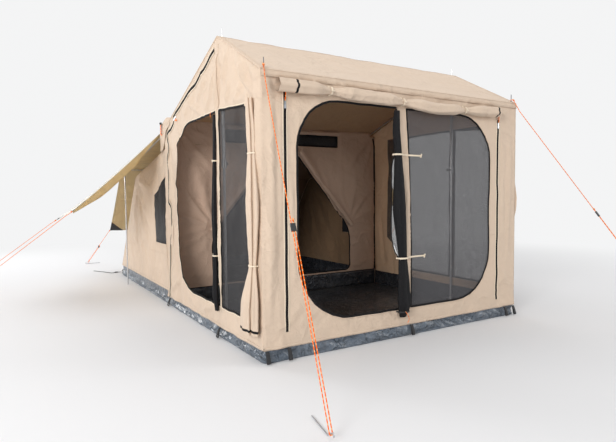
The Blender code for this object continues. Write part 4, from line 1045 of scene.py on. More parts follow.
innerDoorway = rounded([(-inn["half"], inn["sill"], 0.06), (inn["half"], inn["sill"], 0.06),
                        (inn["half"], inn["shoulder"], 0.36), (inn["headHalf"], inn["head"], 0.02),
                        (-inn["headHalf"], inn["head"], 0.02), (-inn["half"], inn["shoulder"], 0.36)], 6)
vent = [(-inn["ventHalf"], inn["ventLow"]), (inn["ventHalf"], inn["ventLow"]), (inn["ventHalf"], inn["ventHigh"]),
        (-inn["ventHalf"], inn["ventHigh"])]
windowOpening = [(window["front"], window["low"]), (window["rear"], window["low"]),
                 (window["rear"], window["rearHigh"]), (window["front"], window["frontHigh"])]
frontOutline = [(-wallX, tentShape["livingHem"]), (wallX, tentShape["livingHem"]), (wallX, tentShape["eave"] - lap),
                (-wallX, tentShape["eave"] - lap)]
sideOutline = [(lap, tentShape["livingHem"]), (livingRear - 0.060, tentShape["livingHem"]),
               (livingRear - 0.060, 1.63), (livingRear - 0.003, 1.65), (livingRear - 0.003, tentShape["hub"] - lap),
               (ridgeBack, ridgeZ - 1.2 * lap), (lap, tentShape["eave"] - lap)]
bedSideOutline = [(bedFront, tentShape["bedHem"]), (bedRear - 0.004, tentShape["bedHem"]),
                  (tentShape["kneeBack"] - 0.001, tentShape["knee"] - lap), (bedFront, tentShape["bedTop"] - lap)]
dividerHalf, notch, notchLow = 1.189, 1.117, 1.712
dividerOutline = [(-dividerHalf, 0.005), (dividerHalf, 0.005), (dividerHalf, notchLow), (notch, notchLow),
                  (notch, inn["top"]), (-notch, inn["top"]), (-notch, notchLow), (-dividerHalf, notchLow)]


def insetNet(opening, grow):
    (u0, v0), (u1, v1) = np.min(opening, 0), np.max(opening, 0)
    centre = np.array([(u0 + u1) / 2, (v0 + v1) / 2])
    return [tuple(centre + (np.array(p) - centre) * (1 + 2 * grow / np.array([u1 - u0, v1 - v0]))) for p in opening]


def slackNet(surface, outline, seed, slack=0.010):
    # a net that follows its wall along its edge and hangs a little slack inside it
    rim = evenly(outline, 0.03)

    def place(u, v, lift):
        away = nearEdge(distanceTo(np.stack([u, v], -1), rim) - 0.02, 0.25)
        wave = 0.5 + 0.5 * softNoise(u, v * 0.4, 0.22, seed) + 0.3 * softNoise(u, v, 0.08, seed + 1)
        return surface(u, v, lift - 0.0032 - slack * away * wave)
    return place


def makeWalls():
    clothPiece("frontWall", frontOutline, [leftDoorway, rightDoorway], 0.016, frontAt, "sandCanvas", "front_wall",
               inside="paintedLightLining")
    for side, label in bothSides:
        clothPiece(f"{label}Wall", sideOutline, [sideFrontDoorway, sideRearDoorways[side]], 0.018, sideAt(side),
                   "sandCanvas", f"{label}_wall", inside="paintedLightLining")
        clothPiece(f"bedroom{label.title()}Wall", bedSideOutline, [windowOpening], 0.026, bedSideAt(side),
                   "sandCanvas",
                   f"bedroom_{label}_wall", inside="paintedShadeBedLining")
        clothPiece(f"{label}WindowNet", insetNet(windowOpening, 0.008), [], 0.04,
                   slackNet(bedSideAt(side), windowOpening, 70, 0.004), "windowNet")
    roof = [(-wallX, 0.0), (wallX, 0.0), (wallX, roofLength), (-wallX, roofLength)]
    clothPiece("livingRoof", roof, [], 0.035, roofAt, "sandCanvas", "living_roof", inside="paintedShadeRoofLining")
    bedRoof = [(-bedX, 0.0), (bedX, 0.0), (bedX, bedRoofLength), (-bedX, bedRoofLength)]
    clothPiece("bedroomRoof", bedRoof, [], 0.035, bedRoofAt, "sandCanvas", "bedroom_roof", inside="paintedShadeBedLining")
    # the divider wears the darkened canvas finish: painted shade
    clothPiece("dividerWall", dividerOutline, [innerDoorway, vent], 0.022, dividerAt, "paintedShadeCanvas", "divider_wall",
               held="hung")
    clothPiece("ventNet", insetNet(vent, 0.008), [], 0.04, slackNet(dividerAt, vent, 74, 0.003), "windowNet")


def makeNets():
    n = netLap
    right = rounded([(d["postRight"] - n, d["sill"] - n, 0), (d["right"], d["sill"] - n, d["corner"] + n),
                     (d["right"], d["head"] + n, d["corner"] + n), (d["netHead"], d["head"] + n, 0)])
    clothPiece("frontNet", right, [], 0.045, slackNet(frontAt, right, 80), "doorNet", "front_mesh", thickness=0)
    low, high, front = sd["sill"] - n, sd["head"] + n, sd["front"] - n
    leftNet = [(front, low), (sd["postFront"] + n, low), (sd["postFront"] + n, high), (front, high)]
    rear = sd["rightRear"] + sd["netBeyond"]
    rightNet = [(front, low), (sd["looseFoot"], low), (sd["looseFoot"] + 0.05, 0.32), (1.53, 0.46),
                (rear, sd["looseTop"]), (rear, high), (front, high)]
    for side, label, net, material in ((-1, "left", leftNet, "sideNet"), (1, "right", rightNet, "doorNet")):
        clothPiece(f"{label}Net", net, [], 0.030, slackNet(sideAt(side), net, 84), material, f"{label}_mesh",
                   thickness=0)


makeWalls()
makeNets()
print("walls, roofs and nets cut")


# Floor tub

tubShape = {"flare": 0.010, "corner": 0.035, "height": 0.150, "bulge": 0.016, "spacing": 0.017, "floor": 0.0016}


def makeTub():
    half, near, far = tubX - tubShape["flare"], lap, tubRear - tubShape["flare"]
    corner = tubShape["corner"]
    rim = evenly(rounded([(-half, near, corner), (half, near, corner), (half, far, corner), (-half, far, corner)], 6),
                 tubShape["spacing"])
    ahead = unit(np.roll(rim, -1, 0) - np.roll(rim, 1, 0))
    out = np.stack([ahead[:, 1], -ahead[:, 0]], 1)
    along = distances(rim)
    # height, flare share and depth of the wrinkles at each ring, from the top edge down
    rings = [(0.150, 0.0, 0.0), (0.138, 0.0, 0.0), (0.118, 0.0, 0.0), (0.098, 0.0, 0.0), (0.082, 0.0, 0.15),
             (0.070, 0.15, 0.5), (0.058, 0.35, 0.9), (0.046, 0.60, 1.0), (0.034, 0.80, 1.0), (0.022, 0.95, 1.0),
             (0.012, 1.0, 0.8), (0.005, 0.85, 0.4), (0.0015, 0.5, 0.0)]
    rows, cloth = [], []
    for height, flare, depth in rings:
        wave = softNoise(along, height * 2.2, 0.11, 91) + 0.7 * softNoise(along + height * 1.6, height, 0.036, 92)
        offset = tubShape["flare"] * flare + tubShape["bulge"] * depth * (wave - 0.25)
        place = rim + out * offset[:, None]
        lift = 0.003 * depth * softNoise(along, height, 0.09, 93) if height > 0.01 else 0
        rows.append(atAll(place[:, 0], place[:, 1], height + lift))
        cloth.append(tubShape["height"] - height)
    spine = np.stack([np.zeros(len(rim)), np.clip(rim[:, 1], near + half, far - half)], 1)
    for share in (0.02, 0.06, 0.14, 0.28, 0.50, 0.75, 1.0):
        place = rim * (1 - share) + spine * share
        wave = 0.004 * np.maximum(0, softNoise(place[:, 0], place[:, 1], 0.16, 94)) * (share < 1)
        rows.append(atAll(place[:, 0], place[:, 1], tubShape["floor"] + wave))
        cloth.append(tubShape["height"] + share * half)
    points = np.stack(rows)
    points = np.concatenate([points, points[:, :1]], 1)
    sheet = loft(points, np.array(cloth)[:, None], np.append(along, along[-1] + tubShape["spacing"])[None])
    # the inner face takes the darkened PVC: painted shade
    made = newPiece("floorTub", [weld(sheet)], "greyPvc", "tub_floor", thickness=0.002, inside="darkPvc")


def makeThreshold():
    # the tub's PVC goes up the foot of the divider, in the darkened copy of the PVC: painted shade
    x, drop = np.linspace(-1.175, 1.175, 90), np.linspace(0, 1, 8)
    lift = 0.004 + 0.007 * np.maximum(0, softNoise(x[None], drop[:, None] * 0.2, 0.12, 95))
    z = 0.006 + 0.158 * drop
    sheet = loft(dividerAt(x[None], z[:, None], lift), z[:, None], x[None])
    made = newPiece("tubThreshold", [sheet], "darkPvc", thickness=0.0015)


makeTub()
makeThreshold()
print("floor tub formed")


# Rolled and gathered cloth

rollShapes = {
    "front": {"half": 1.01, "middle": -0.10, "radius": 0.045, "tied": 0.52, "reach": 0.15,
              "ties": (-0.604, 0.007, 0.635), "turns": 8,
              "drops": [(-1.00, 0.10), (-0.60, 0.05), (-0.34, 0.30), (0.01, 0.38), (0.31, 0.95), (0.635, 0.55),
                        (1.00, 0.28)], "flat": (2.02, 1.43)},
    "bundle": {"back": 0.090, "half": 0.125, "depth": 0.045, "bottom": 0.17, "top": 1.64, "turns": 6,
               "widths": [(0.00, 1.00), (0.14, 0.92), (0.22, 0.60), (0.29, 0.30), (0.36, 0.45), (0.50, 0.62),
                          (0.66, 0.52), (0.77, 0.33), (0.87, 0.45), (1.00, 0.27)],
               "drifts": [(0.00, 0.40), (0.12, 0.24), (0.29, 0.10), (0.56, -0.20), (0.77, 0.00), (1.00, 0.28)],
               "depths": [(0.00, 0.80), (0.12, 0.90), (0.29, 0.45), (0.56, 0.80), (0.77, 0.50), (1.00, 0.45)],
               "flat": (1.52, 1.47),
               "depthShare": {"left": 1.0, "right": 0.6}, "cleft": (143, 0.80, 10)},
    "frontNet": {"half": 0.064, "side": -0.086, "bottom": 0.15, "top": 1.629, "flat": (0.88, 1.48), "turns": 5,
                 "widths": [(0.00, 0.44), (0.06, 1.00), (0.30, 0.62), (0.52, 0.97), (0.81, 0.53), (0.90, 0.58),
                            (1.00, 0.41)],
                 "drifts": [(0.00, 0.00), (0.30, -0.09), (0.52, -0.72), (0.81, -0.69), (0.90, -1.00), (1.00, -0.84)]},
    "sideNet": {"half": 0.035, "back": 0.066, "bottom": 0.194, "top": 1.624, "flat": (1.00, 1.43), "turns": 9,
                "widths": [(0.00, 0.65), (0.08, 1.00), (0.30, 0.74), (0.49, 0.91), (0.82, 0.57), (1.00, 0.52)],
                "drifts": [(0.00, 0.00), (0.11, 0.33), (0.49, 0.22), (0.82, -0.07), (1.00, -0.22)]},
}
netDepthShare = 0.62


def eased(table, position, soft=0.02):
    keys, values = zip(*table)
    return sum(np.interp(position + soft * k, keys, values) for k in (-1, -0.5, 0, 0.5, 1)) / 5


def rolledCloth(spine, widths, depths, across, outwards, turns, inner, folds, foldShare, seed, perTurn=20,
                stagger=0.0, cleft=None):
    # a sheet rolled into a flattened spiral along the spine. Its folds fade where it lies on the wall.
    spine = np.asarray(spine, float)
    count = turns * perTurn
    t = np.linspace(0, 1, count + 1)
    angle = 2 * pi * turns * t - pi / 2
    share = inner + (1 - inner) * t
    along = distances(spine)
    ahead = unit(np.gradient(spine, axis=0))
    turned = along[:, None] * 3.0 + 1.2 * softNoise(along[:, None], 0.0, 0.25, seed)
    fading = foldShare * (1 + np.sin(angle)) / 2 * (0.35 + 0.65 * t)
    swell = 1 - fading * (1 - np.abs(np.sin((folds * angle + turned) / 2)))
    crumple = np.abs(softNoise(along[:, None], angle[None] * 0.02, 0.05, seed + 1))
    swell = swell * (1 - 0.08 * crumple * (1 + np.sin(angle)) / 2)
    if cleft:
        # one deep fold that runs the whole way, at an angle in degrees, with its depth and half width
        away = (angle - radians(cleft[0]) + pi) % (2 * pi) - pi
        swell = swell * (1 - cleft[1] * t * np.exp(-(away / radians(cleft[2])) ** 2))
    out = depths[:, None] * share * swell * np.sin(angle)
    aside = widths[:, None] * share * swell * np.cos(angle)
    inwards = stagger * (1 - t)[None, :, None] * ahead[:, None]
    points = spine[:, None] + aside[..., None] * np.array(across) + out[..., None] * np.array(outwards) + inwards
    lengths = distances(points[len(points) // 2])
    return loft(points, along[:, None], lengths[None])


def paintRows(piece, columns, first, count, material):
    # another finish on some rows of a rolled cloth, such as its bound end
    mesh = piece.data
    mesh.materials.append(finish[material])
    for face in mesh.polygons[first * columns:(first + count) * columns]:
        face.material_index = len(mesh.materials) - 1


def frontRollAt(share):
    look = rollShapes["front"]
    near = np.minimum(np.min([np.abs(share - tie) for tie in look["ties"]], 0) / look["reach"], 1)
    size = look["tied"] + (1 - look["tied"]) * smoothStep(near)
    highest = tentShape["eave"] - tentShape["lip"] - look["radius"] - 0.0006
    return size, highest - look["radius"] * eased(look["drops"], share, 0.06)


def makeFrontRoll():
    look = rollShapes["front"]
    share = np.linspace(-1, 1, 121)
    size, z = frontRollAt(share)
    spine = atAll(look["middle"] + look["half"] * share, -look["radius"] * size - 0.0003, z)
    part = rolledCloth(spine, look["radius"] * size, look["radius"] * size, (0, 0, 1), (0, -1, 0), look["turns"],
                       0.30, 5, 0.30, 101, stagger=0.05)
    made = newPiece("frontCanvasRoll", [part], "sandCanvas", "front_canvas_roll")
    paintRows(made, look["turns"] * 20, 7, 1, "blackTape")
    paintRows(made, look["turns"] * 20, 118, 1, "blackTape")


def bundleRows(count):
    look = rollShapes["bundle"]
    share = np.linspace(0, 1, count)
    z = look["bottom"] + (look["top"] - look["bottom"]) * share
    return (z, look["back"] + look["half"] * eased(look["drifts"], share),
            look["half"] * eased(look["widths"], share),
            look["depth"] * eased(look["depths"], share))


def netRows(name, count):
    look = rollShapes[name]
    share = np.linspace(0, 1, count)
    z = look["bottom"] + (look["top"] - look["bottom"]) * share
    return z, look["half"] * eased(look["drifts"], share), look["half"] * eased(look["widths"], share)


def rowAt(z, heights, *columns):
    return [float(np.interp(z, heights, column)) for column in columns]


def makeBundles():
    look = rollShapes["bundle"]
    z, s, width, fullDepth = bundleRows(90)
    for side, label in bothSides:
        depth = fullDepth * look["depthShare"][label]
        spine = atAll(side * (wallX + depth + 0.0003), s, z)
        part = rolledCloth(spine, width, depth, (0, 1, 0), (side, 0, 0), look["turns"], 0.30, 6, 0.34,
                           110, 40, cleft=look["cleft"])
        made = newPiece(f"{label}CanvasBundle", [part], "sandCanvas", f"{label}_canvas_bundle")
        paintRows(made, look["turns"] * 40, 1, 1, "blackTape")


def makeNetRolls():
    for name, label, across, out, seed in (("frontNet", "front", (1, 0, 0), (0, -1, 0), 120),
                                           ("sideNet", "left", (0, 1, 0), (-1, 0, 0), 124)):
        look = rollShapes[name]
        z, drift, half = netRows(name, 90)
        depth = half * netDepthShare
        away = -depth - 0.0003
        if name == "frontNet":
            spine = atAll(drift + look["side"], away, z)
        else:
            spine = atAll(-wallX + away, ridgeBack + look["back"] + drift, z)
        part = rolledCloth(spine, half, depth, across, out, look["turns"], 0.30, 5, 0.40, seed)
        made = newPiece(f"{label}NetRoll", [part], "rolledNet", f"{label}_mesh_roll")


makeFrontRoll()
makeBundles()
makeNetRolls()
print("canvas and nets rolled up")


# Fly sheet

flyShape = {
    "front": 2.215, "knee": 3.42, "rear": 4.51, "rearX": 1.30, "rearZ": 0.585, "frontX": 1.185, "kneeX": 1.343,
    "frontZ": 1.6724, "kneeZ": 1.3804, "sag": 0.050, "wingFront": guy["wingFrontTip"], "wingRear": guy["wingRearTip"],
    "wingSag": 0.035, "valance": 0.085, "frontRows": 4, "rearRows": 3,
    "patches": [(2, 0, 1), (2, 4, -1), (1, 7, -1)], "patchAcross": 0.13, "patchRow": 0.5,
    "flat": (4.5, 2.6), "middleWidth": 2.75, "wing": (1.15, 1.05), "valanceFlat": 2.22, "valanceArea": 0.130,
    "halfWidth": 1.24, "wingWidth": 1.1, "frontRow": 0.30, "rearRow": 0.34,  # sizes of the flat cloth
}


def flyBase(across, row):
    f = flyShape
    across, row = np.broadcast_arrays(np.asarray(across, float), np.asarray(row, float))
    side, out = np.sign(across), np.abs(across)
    along = np.clip(row / f["frontRows"], 0, 1)
    down = np.clip((row - f["frontRows"]) / f["rearRows"], 0, 1)
    s = f["front"] + (f["knee"] - f["front"]) * along + (f["rear"] - f["knee"]) * down
    foldX = f["frontX"] + (f["kneeX"] - f["frontX"]) * along
    z = f["frontZ"] + (f["kneeZ"] - f["frontZ"]) * along
    rearZ = z + (f["rearZ"] - z) * down - f["sag"] * np.sin(pi * down) * (1 - out * out / 2)
    rearX = foldX + (f["rearX"] - foldX) * down
    sag = f["sag"] * np.clip(1 - out * out, 0, 1) * (1 - along)
    share = np.clip(out - 1, 0, 1)
    tip = [a + (b - a) * along for a, b in zip(f["wingFront"], f["wingRear"])]
    wingX = foldX + (tip[0] - foldX) * share
    wingS = s + (tip[1] - s) * share
    wingZ = z + (tip[2] - z) * share - f["wingSag"] * np.sin(pi * share) * (1 + along) / 2
    behind, wing = row > f["frontRows"], (out > 1) & (row <= f["frontRows"])
    x = np.where(wing, wingX, np.where(behind, rearX * out, foldX * out))
    return atAll(side * x, np.where(wing, wingS, s), np.where(wing, wingZ, np.where(behind, rearZ, z - sag)))


def flyAt(across, row, lift):
    across, row = np.broadcast_arrays(np.asarray(across, float), np.asarray(row, float))
    step = 0.004
    u = flyBase(across + step, row) - flyBase(across - step, row)
    v = flyBase(across, row + step) - flyBase(across, row - step)
    normal = np.cross(u, v)
    normal /= np.maximum(np.linalg.norm(normal, axis=-1, keepdims=True), 1e-12)
    f = flyShape
    out = np.abs(across)
    edge = np.minimum.reduce([np.abs(out - 1) * 1.2, row * 0.3, np.abs(row - f["frontRows"]) * 0.3])
    free = nearEdge(edge, 0.12)
    ripple = 0.006 * softNoise(across, row * 0.35, 0.16, 131) + 0.003 * softNoise(across * 1.3, row * 0.4, 0.06, 132)
    pulls = 0.010 * np.cos(9 * row + 3 * out) * np.clip(out - 1, 0, 1) * (2 - out) * 2
    return flyBase(across, row) + normal * (0.001 + lift + free * (ripple + pulls))[..., None]


def cornerPatch(across, row, towards):
    # a three-cornered patch on a corner of the fly, its sides along the fly's edges
    side, f = np.sign(across), flyShape
    reach, share = np.meshgrid(np.linspace(0, 1, 8), np.linspace(0, 1, 6), indexing="ij")
    places = flyAt(across - side * f["patchAcross"] * (1 - reach) * share, row + towards * f["patchRow"] * reach, 0.0)
    return weld(loft(places, reach * 0.16, share * 0.16))


def makeFly():
    f = flyShape
    middleColumns, wingColumns = np.linspace(-1, 1, 65), np.linspace(1, 2, 25)
    frontRows, rearRows = np.linspace(0, 4, 41), np.linspace(4, 7, 37)
    parts = []
    columns = np.concatenate([-wingColumns[::-1], middleColumns[1:-1], wingColumns])
    widths = np.where(np.abs(columns) <= 1, np.abs(columns) * f["halfWidth"],
                      f["halfWidth"] + (np.abs(columns) - 1) * f["wingWidth"]) * np.sign(columns)
    top = flyAt(columns[None], frontRows[:, None], 0.0)
    parts.append(loft(top, widths[None], (frontRows * f["frontRow"])[:, None]))
    behind = flyAt(middleColumns[None], rearRows[:, None], 0.0)
    parts.append(loft(behind, (middleColumns * f["halfWidth"])[None], (rearRows * f["rearRow"])[:, None]))
    made = newPiece("flySheet", [weld(joined(parts))], "flyCloth", "fly_sheet", thickness=0.0012, inside="paintedSheenFlyTop")
    valances = []
    for side in (-1, 1):
        drop = np.linspace(0, 1, 7)[:, None]
        edge = flyAt(side * wingColumns, 0.0, 0.0)
        fall = f["valance"] * np.clip((wingColumns - 1) * 3, 0, 1)
        fall = fall * (1 - 0.75 * np.clip((wingColumns - 1.7) / 0.3, 0, 1))
        wave = 0.008 * np.sin(wingColumns * 40) * drop
        hung = edge[None] + drop[..., None] * np.stack([wave[0] * 0, -fall / 4, -fall], -1)[None]
        hung[..., 1] -= wave
        across = np.broadcast_to((wingColumns * f["wingWidth"])[None], drop.shape[:1] + wingColumns.shape)
        valances.append(loft(hung, across, drop * f["valance"]))
    made = newPiece("flyValance", [weld(joined(valances))], "flyCloth", thickness=0.0012)
    patches = [cornerPatch(side * tip, row, towards) for side in (-1, 1) for tip, row, towards in f["patches"]]
    newPiece("flyCornerPatches", patches, "blackWebbing", thickness=0.0045)


makeFly()
print("fly sheet stretched")


# Zips, bound edges and seams

tapeShape = {"zip": 0.020, "teeth": 0.006, "welt": 0.009, "binding": 0.015}


def zipParts(surface, path, lift=0.0008, wave=0.0, seed=0, width=1.0):
    # black tape with a row of teeth, and the welts of canvas on its two sides
    if wave:
        path = evenly(path, 0.012, False)
        ahead = unit(np.gradient(path, axis=0))
        run = np.arange(len(path)) * 0.012
        sway = wave * softNoise(run, 0.0, 0.11, seed) * nearEdge(np.minimum(run, run[-1] - run), 0.1)
        path = path + np.stack([-ahead[:, 1], ahead[:, 0]], 1) * sway[:, None]
    z = tapeShape
    tape = trim(surface, path, bandProfile(z["zip"] * width, 0.0016 * width), lift)
    teeth = trim(surface, path, bandProfile(z["teeth"] * width, 0.0030 * width), lift + 0.0014 * width)
    side = (z["zip"] + z["welt"]) * width / 2 - 0.001
    welt = ovalProfile(z["welt"] * width, 0.0028 * width, 6, 0.0006)
    welts = [trim(surface, path, beside(welt, k * side), lift) for k in (-1, 1)]
    return [tape, teeth], welts


def shifted(outline, distance):
    # an outline moved outwards, with its square corners kept square
    outline = np.array(outline, float)
    ahead = unit(np.roll(outline, -1, 0) - outline)
    behind = np.roll(ahead, 1, 0)
    turn = np.cross(behind, ahead).sum()
    normal = np.stack([ahead[:, 1], -ahead[:, 0]], 1) * (1 if turn > 0 else -1)
    before = np.roll(normal, 1, 0)
    both = normal + before
    both /= (both * normal).sum(1, keepdims=True)
    return outline + both * distance


def boundEdge(surface, opening):
    # black binding round an opening, and a welt of canvas just outside it
    z = tapeShape
    loop = shifted(opening, z["binding"] * 0.5 - 0.001)
    tape = trim(surface, loop, bandProfile(z["binding"], 0.0030), 0.0004, closed=True)
    outer = shifted(opening, z["binding"] + z["welt"] * 0.4)
    welt = trim(surface, outer, ovalProfile(z["welt"], 0.0055, 6, 0.0008), closed=True)
    return tape, welt


def seam(surface, path, width, rise=0.0022):
    return trim(surface, path, ovalProfile(width, rise, 6), 0.0014)


def hem(surface, start, end, height, lift=0.0004):
    return trim(surface, [(start, height), (end, height)], ovalProfile(0.020, 0.0035, 6), lift)


zipRuns = {
    "left": {"x": zipX["left"], "low": 0.178, "high": 1.679},
    "right": {"x": zipX["right"], "low": 0.152, "high": 1.643},
    "side": [(1.987, 0.085), (1.970, 0.35), (1.943, 0.63), (1.891, 0.886), (1.960, 1.025), (1.930, 1.30),
             (1.923, 1.485), (1.967, 1.558), (1.994, 1.607), (1.970, 1.632), (1.861, 1.661), (1.785, 1.692),
             (1.768, 1.724), (1.795, 1.750), (1.740, 1.768), (1.620, 1.800), (1.533, 1.826), (1.399, 1.869),
             (1.110, 1.955), (0.917, 2.020), (0.745, 2.090)],
}


def smoothPath(points, count):
    # a smooth curve through chosen points
    points = np.array(points, float)
    padded = np.concatenate([2 * points[:1] - points[1:2], points, 2 * points[-1:] - points[-2:-1]])
    made = []
    for i in range(len(points) - 1):
        p0, p1, p2, p3 = padded[i:i + 4]
        for t in np.arange(count) / count:
            made.append(0.5 * (2 * p1 + (p2 - p0) * t + (2 * p0 - 5 * p1 + 4 * p2 - p3) * t * t
                               + (3 * p1 - p0 - 3 * p2 + p3) * t ** 3))
    return np.array(made + [points[-1]])


def makeFrontTrim():
    black, cream, plain = [], [], []
    for opening in (leftDoorway, rightDoorway):
        tape, welt = boundEdge(frontAt, opening)
        black.append(tape)
        plain.append(welt)
    for label, wave in (("left", 0.002), ("right", 0.005)):
        run = zipRuns[label]
        dark, light = zipParts(frontAt, [(run["x"], run["low"]), (run["x"], run["high"])], wave=wave, seed=150,
                               width=1.0 if label == "left" else 1.15)
        black += dark
        cream += light
    low = tentShape["livingHem"]
    plain.append(hem(frontAt, -wallX, wallX, low + 0.010))
    newPiece("frontZipsAndBinding", black, "blackTape")
    newPiece("frontWelts", cream, "creamAndPaintedHighlight")
    newPiece("frontSeams", plain, "sandCanvas")


def makeSideTrim():
    for side, label in bothSides:
        wall, black, cream, plain = sideAt(side), [], [], []
        for opening in (sideFrontDoorway, sideRearDoorways[side]):
            tape, welt = boundEdge(wall, opening)
            black.append(tape)
            cream.append(welt)
        dark, light = zipParts(wall, smoothPath(zipRuns["side"], 8), lift=0.0030, wave=0.003, seed=152, width=1.3)
        black += dark
        cream += light
        low, rear = tentShape["livingHem"], livingRear - 0.060
        plain.append(hem(wall, 0.006, rear, low + 0.010))
        plain.append(seam(wall, [(rear - 0.008, low + 0.02), (rear - 0.008, 1.62)], 0.010))
        plain.append(seam(wall, [(ridgeBack + 0.02, sd["head"] + 0.03), (ridgeBack, ridgeZ - 0.06)], 0.014))
        newPiece(f"{label}ZipAndBinding", black, "blackTape")
        newPiece(f"{label}Welts", cream, "creamAndPaintedHighlight")
        newPiece(f"{label}Seams", plain, "sandCanvas")


def makeRoofTrim():
    cream = []
    for side in (-1, 1):
        edge = side * (wallX - 0.001)
        cream.append(trim(roofAt, [(edge, 0.0), (edge, roofLength - 0.002)], ovalProfile(0.009, 0.007, 8), -0.001))
        cream.append(seam(roofAt,
                          [(side * (wallX - 0.030), roofEave + 0.02), (side * (wallX - 0.030), roofLength - 0.02)],
                          0.010, 0.0018))
        bed = side * (bedX - 0.003)
        cream.append(trim(bedRoofAt, [(bed, 0.0), (bed, bedRoofLength - 0.002)], ovalProfile(0.009, 0.007, 8),
                          -0.001))
    for along in (roofEave + 0.004, roofRidge - 0.020, roofRidge + 0.020):
        cream.append(seam(roofAt, [(-wallX + 0.003, along), (wallX - 0.003, along)], 0.010, 0.0016))
    cream.append(seam(bedRoofAt, [(-0.02, 0.02), (-0.02, bedRoofLength - 0.02)], 0.012, 0.0016))
    cream.append(seam(bedRoofAt, [(-bedX + 0.003, bedKnee), (bedX - 0.003, bedKnee)], 0.014, 0.0020))
    cream.append(hem(bedRoofAt, -bedX + 0.004, bedX - 0.004, bedRoofLength - 0.012, 0.0002))
    newPiece("roofSeams", cream, "sandCanvas")


def makeBedroomTrim():
    for side, label in bothSides:
        wall = bedSideAt(side)
        welt = trim(wall, shifted(windowOpening, 0.006), ovalProfile(0.014, 0.0045, 6), 0.0002, closed=True)
        outer = trim(wall, shifted(windowOpening, 0.030), ovalProfile(0.004, 0.0020, 6), 0.0006, closed=True)
        low = tentShape["bedHem"]
        foot = hem(wall, bedFront + 0.004, bedRear - 0.02, low + 0.010)
        across = seam(wall, [(bedFront + 0.15, window["low"] - 0.10),
                             (tentShape["kneeBack"] + 0.40, window["low"] - 0.10)], 0.010)
        newPiece(f"bedroom{label.title()}Welts", [welt, outer, foot, across], "sandCanvas")


def makeDividerTrim():
    black, paintedShadeWelts = [], []
    tape, welt = boundEdge(dividerAt, innerDoorway)
    ventTape, ventWelt = boundEdge(dividerAt, vent)
    black += [tape, ventTape]
    paintedShadeWelts += [welt, ventWelt]
    for side in (-1, 1):
        edge = side * (dividerHalf - 0.010)
        black.append(trim(dividerAt, [(edge, 0.17), (edge, 1.60), (side * (dividerHalf - 0.03), 1.69)],
                          bandProfile(0.020, 0.003), 0.001))
    black.append(trim(dividerAt, [(-dividerHalf + 0.01, 0.165), (dividerHalf - 0.01, 0.165)],
                      bandProfile(0.012, 0.003), 0.001))
    newPiece("dividerBinding", black, "blackTape")
    newPiece("dividerWelts", paintedShadeWelts, "paintedShadeCanvas")


def bandThrough(points, origin, across, outwards, profile):
    # a strap that runs through (across, outwards) points of one plane
    flat = smoothPath(points, 6)
    ahead = unit(np.gradient(flat, axis=0))
    a, o = np.array(across, float), np.array(outwards, float)
    path = np.array(origin, float) + flat[:, :1] * a + flat[:, 1:] * o
    return sweep(path, ahead[:, :1] * o - ahead[:, 1:] * a, profile)


def strapOver(origin, across, outwards, half, depth, before, after, width):
    # a strap that lies on the wall, over a roll of this half width and depth, and on the wall again
    rise = 0.0025
    arc = [((half + rise) * np.sin(a), depth + (depth + rise) * np.cos(a))
           for a in np.radians(np.linspace(-112, 112, 15))]
    low = 0.0032
    start = [(-half - 0.008 - before, low),
             (-half - 0.008 - before / 2, low + 0.001)] if before else [(-half - 0.004, low)]
    end = [(half + 0.008 + after / 2, low + 0.001), (half + 0.008 + after, low)] if after else [(half + 0.004, low)]
    return bandThrough(start + arc + end, origin, across, outwards, bandProfile(width, 0.0022))


def togglePart(centre, axis, length=0.034, radius=0.0065):
    share = np.linspace(-1, 1, 13)
    path = np.array(centre, float) + share[:, None] * length / 2 * np.array(axis, float)
    sizes = radius * np.sqrt(1 - (share * 0.97) ** 6) * (1 - 0.25 * np.exp(-(share * 4) ** 2))
    return sweep(path, turnedNormals(path), ovalProfile(2, 2, 10)[None] * sizes[:, None, None])


def tabPart(points, width=0.009, thick=0.0035):
    # a soft pull: a short flat cord through these places
    path = smoothPath(points, 5)
    share = np.linspace(-1, 1, len(path))
    sizes = np.sqrt(1 - (share * 0.95) ** 8)
    return sweep(path, turnedNormals(path), ovalProfile(width, thick, 8)[None] * sizes[:, None, None])


tiePlaces = {
    "post": [(1.32, 0.105), (0.58, 0.142)], "netRoll": (1.293, 0.60), "footLoop": 0.192,
    "bundle": [(1.298, True), (0.601, False)], "pegLoopX": (-1.185, -1.031, 0.001, 1.060, 1.165),
    "pegLoopS": (0.690, 1.956), "doorPulls": ((0.193, 1.610), (0.810, 1.635)),
    "footString": [(-0.100, -0.062, 0.200), (-0.085, -0.072, 0.170), (-0.070, -0.066, 0.150),
                   (-0.062, -0.056, 0.128), (-0.070, -0.052, 0.112)],
    "frontPull": [(-0.158, -0.006, 1.628), (-0.157, -0.011, 1.602), (-0.158, -0.008, 1.576)],
}
pegLoopLine = [(0.009, 0.078), (0.016, 0.072), (0.022, 0.055), (0.026, 0.036), (0.029, 0.018), (0.035, 0.008),
               (0.043, 0.013), (0.040, 0.028), (0.033, 0.046), (0.026, 0.064), (0.018, 0.080)]


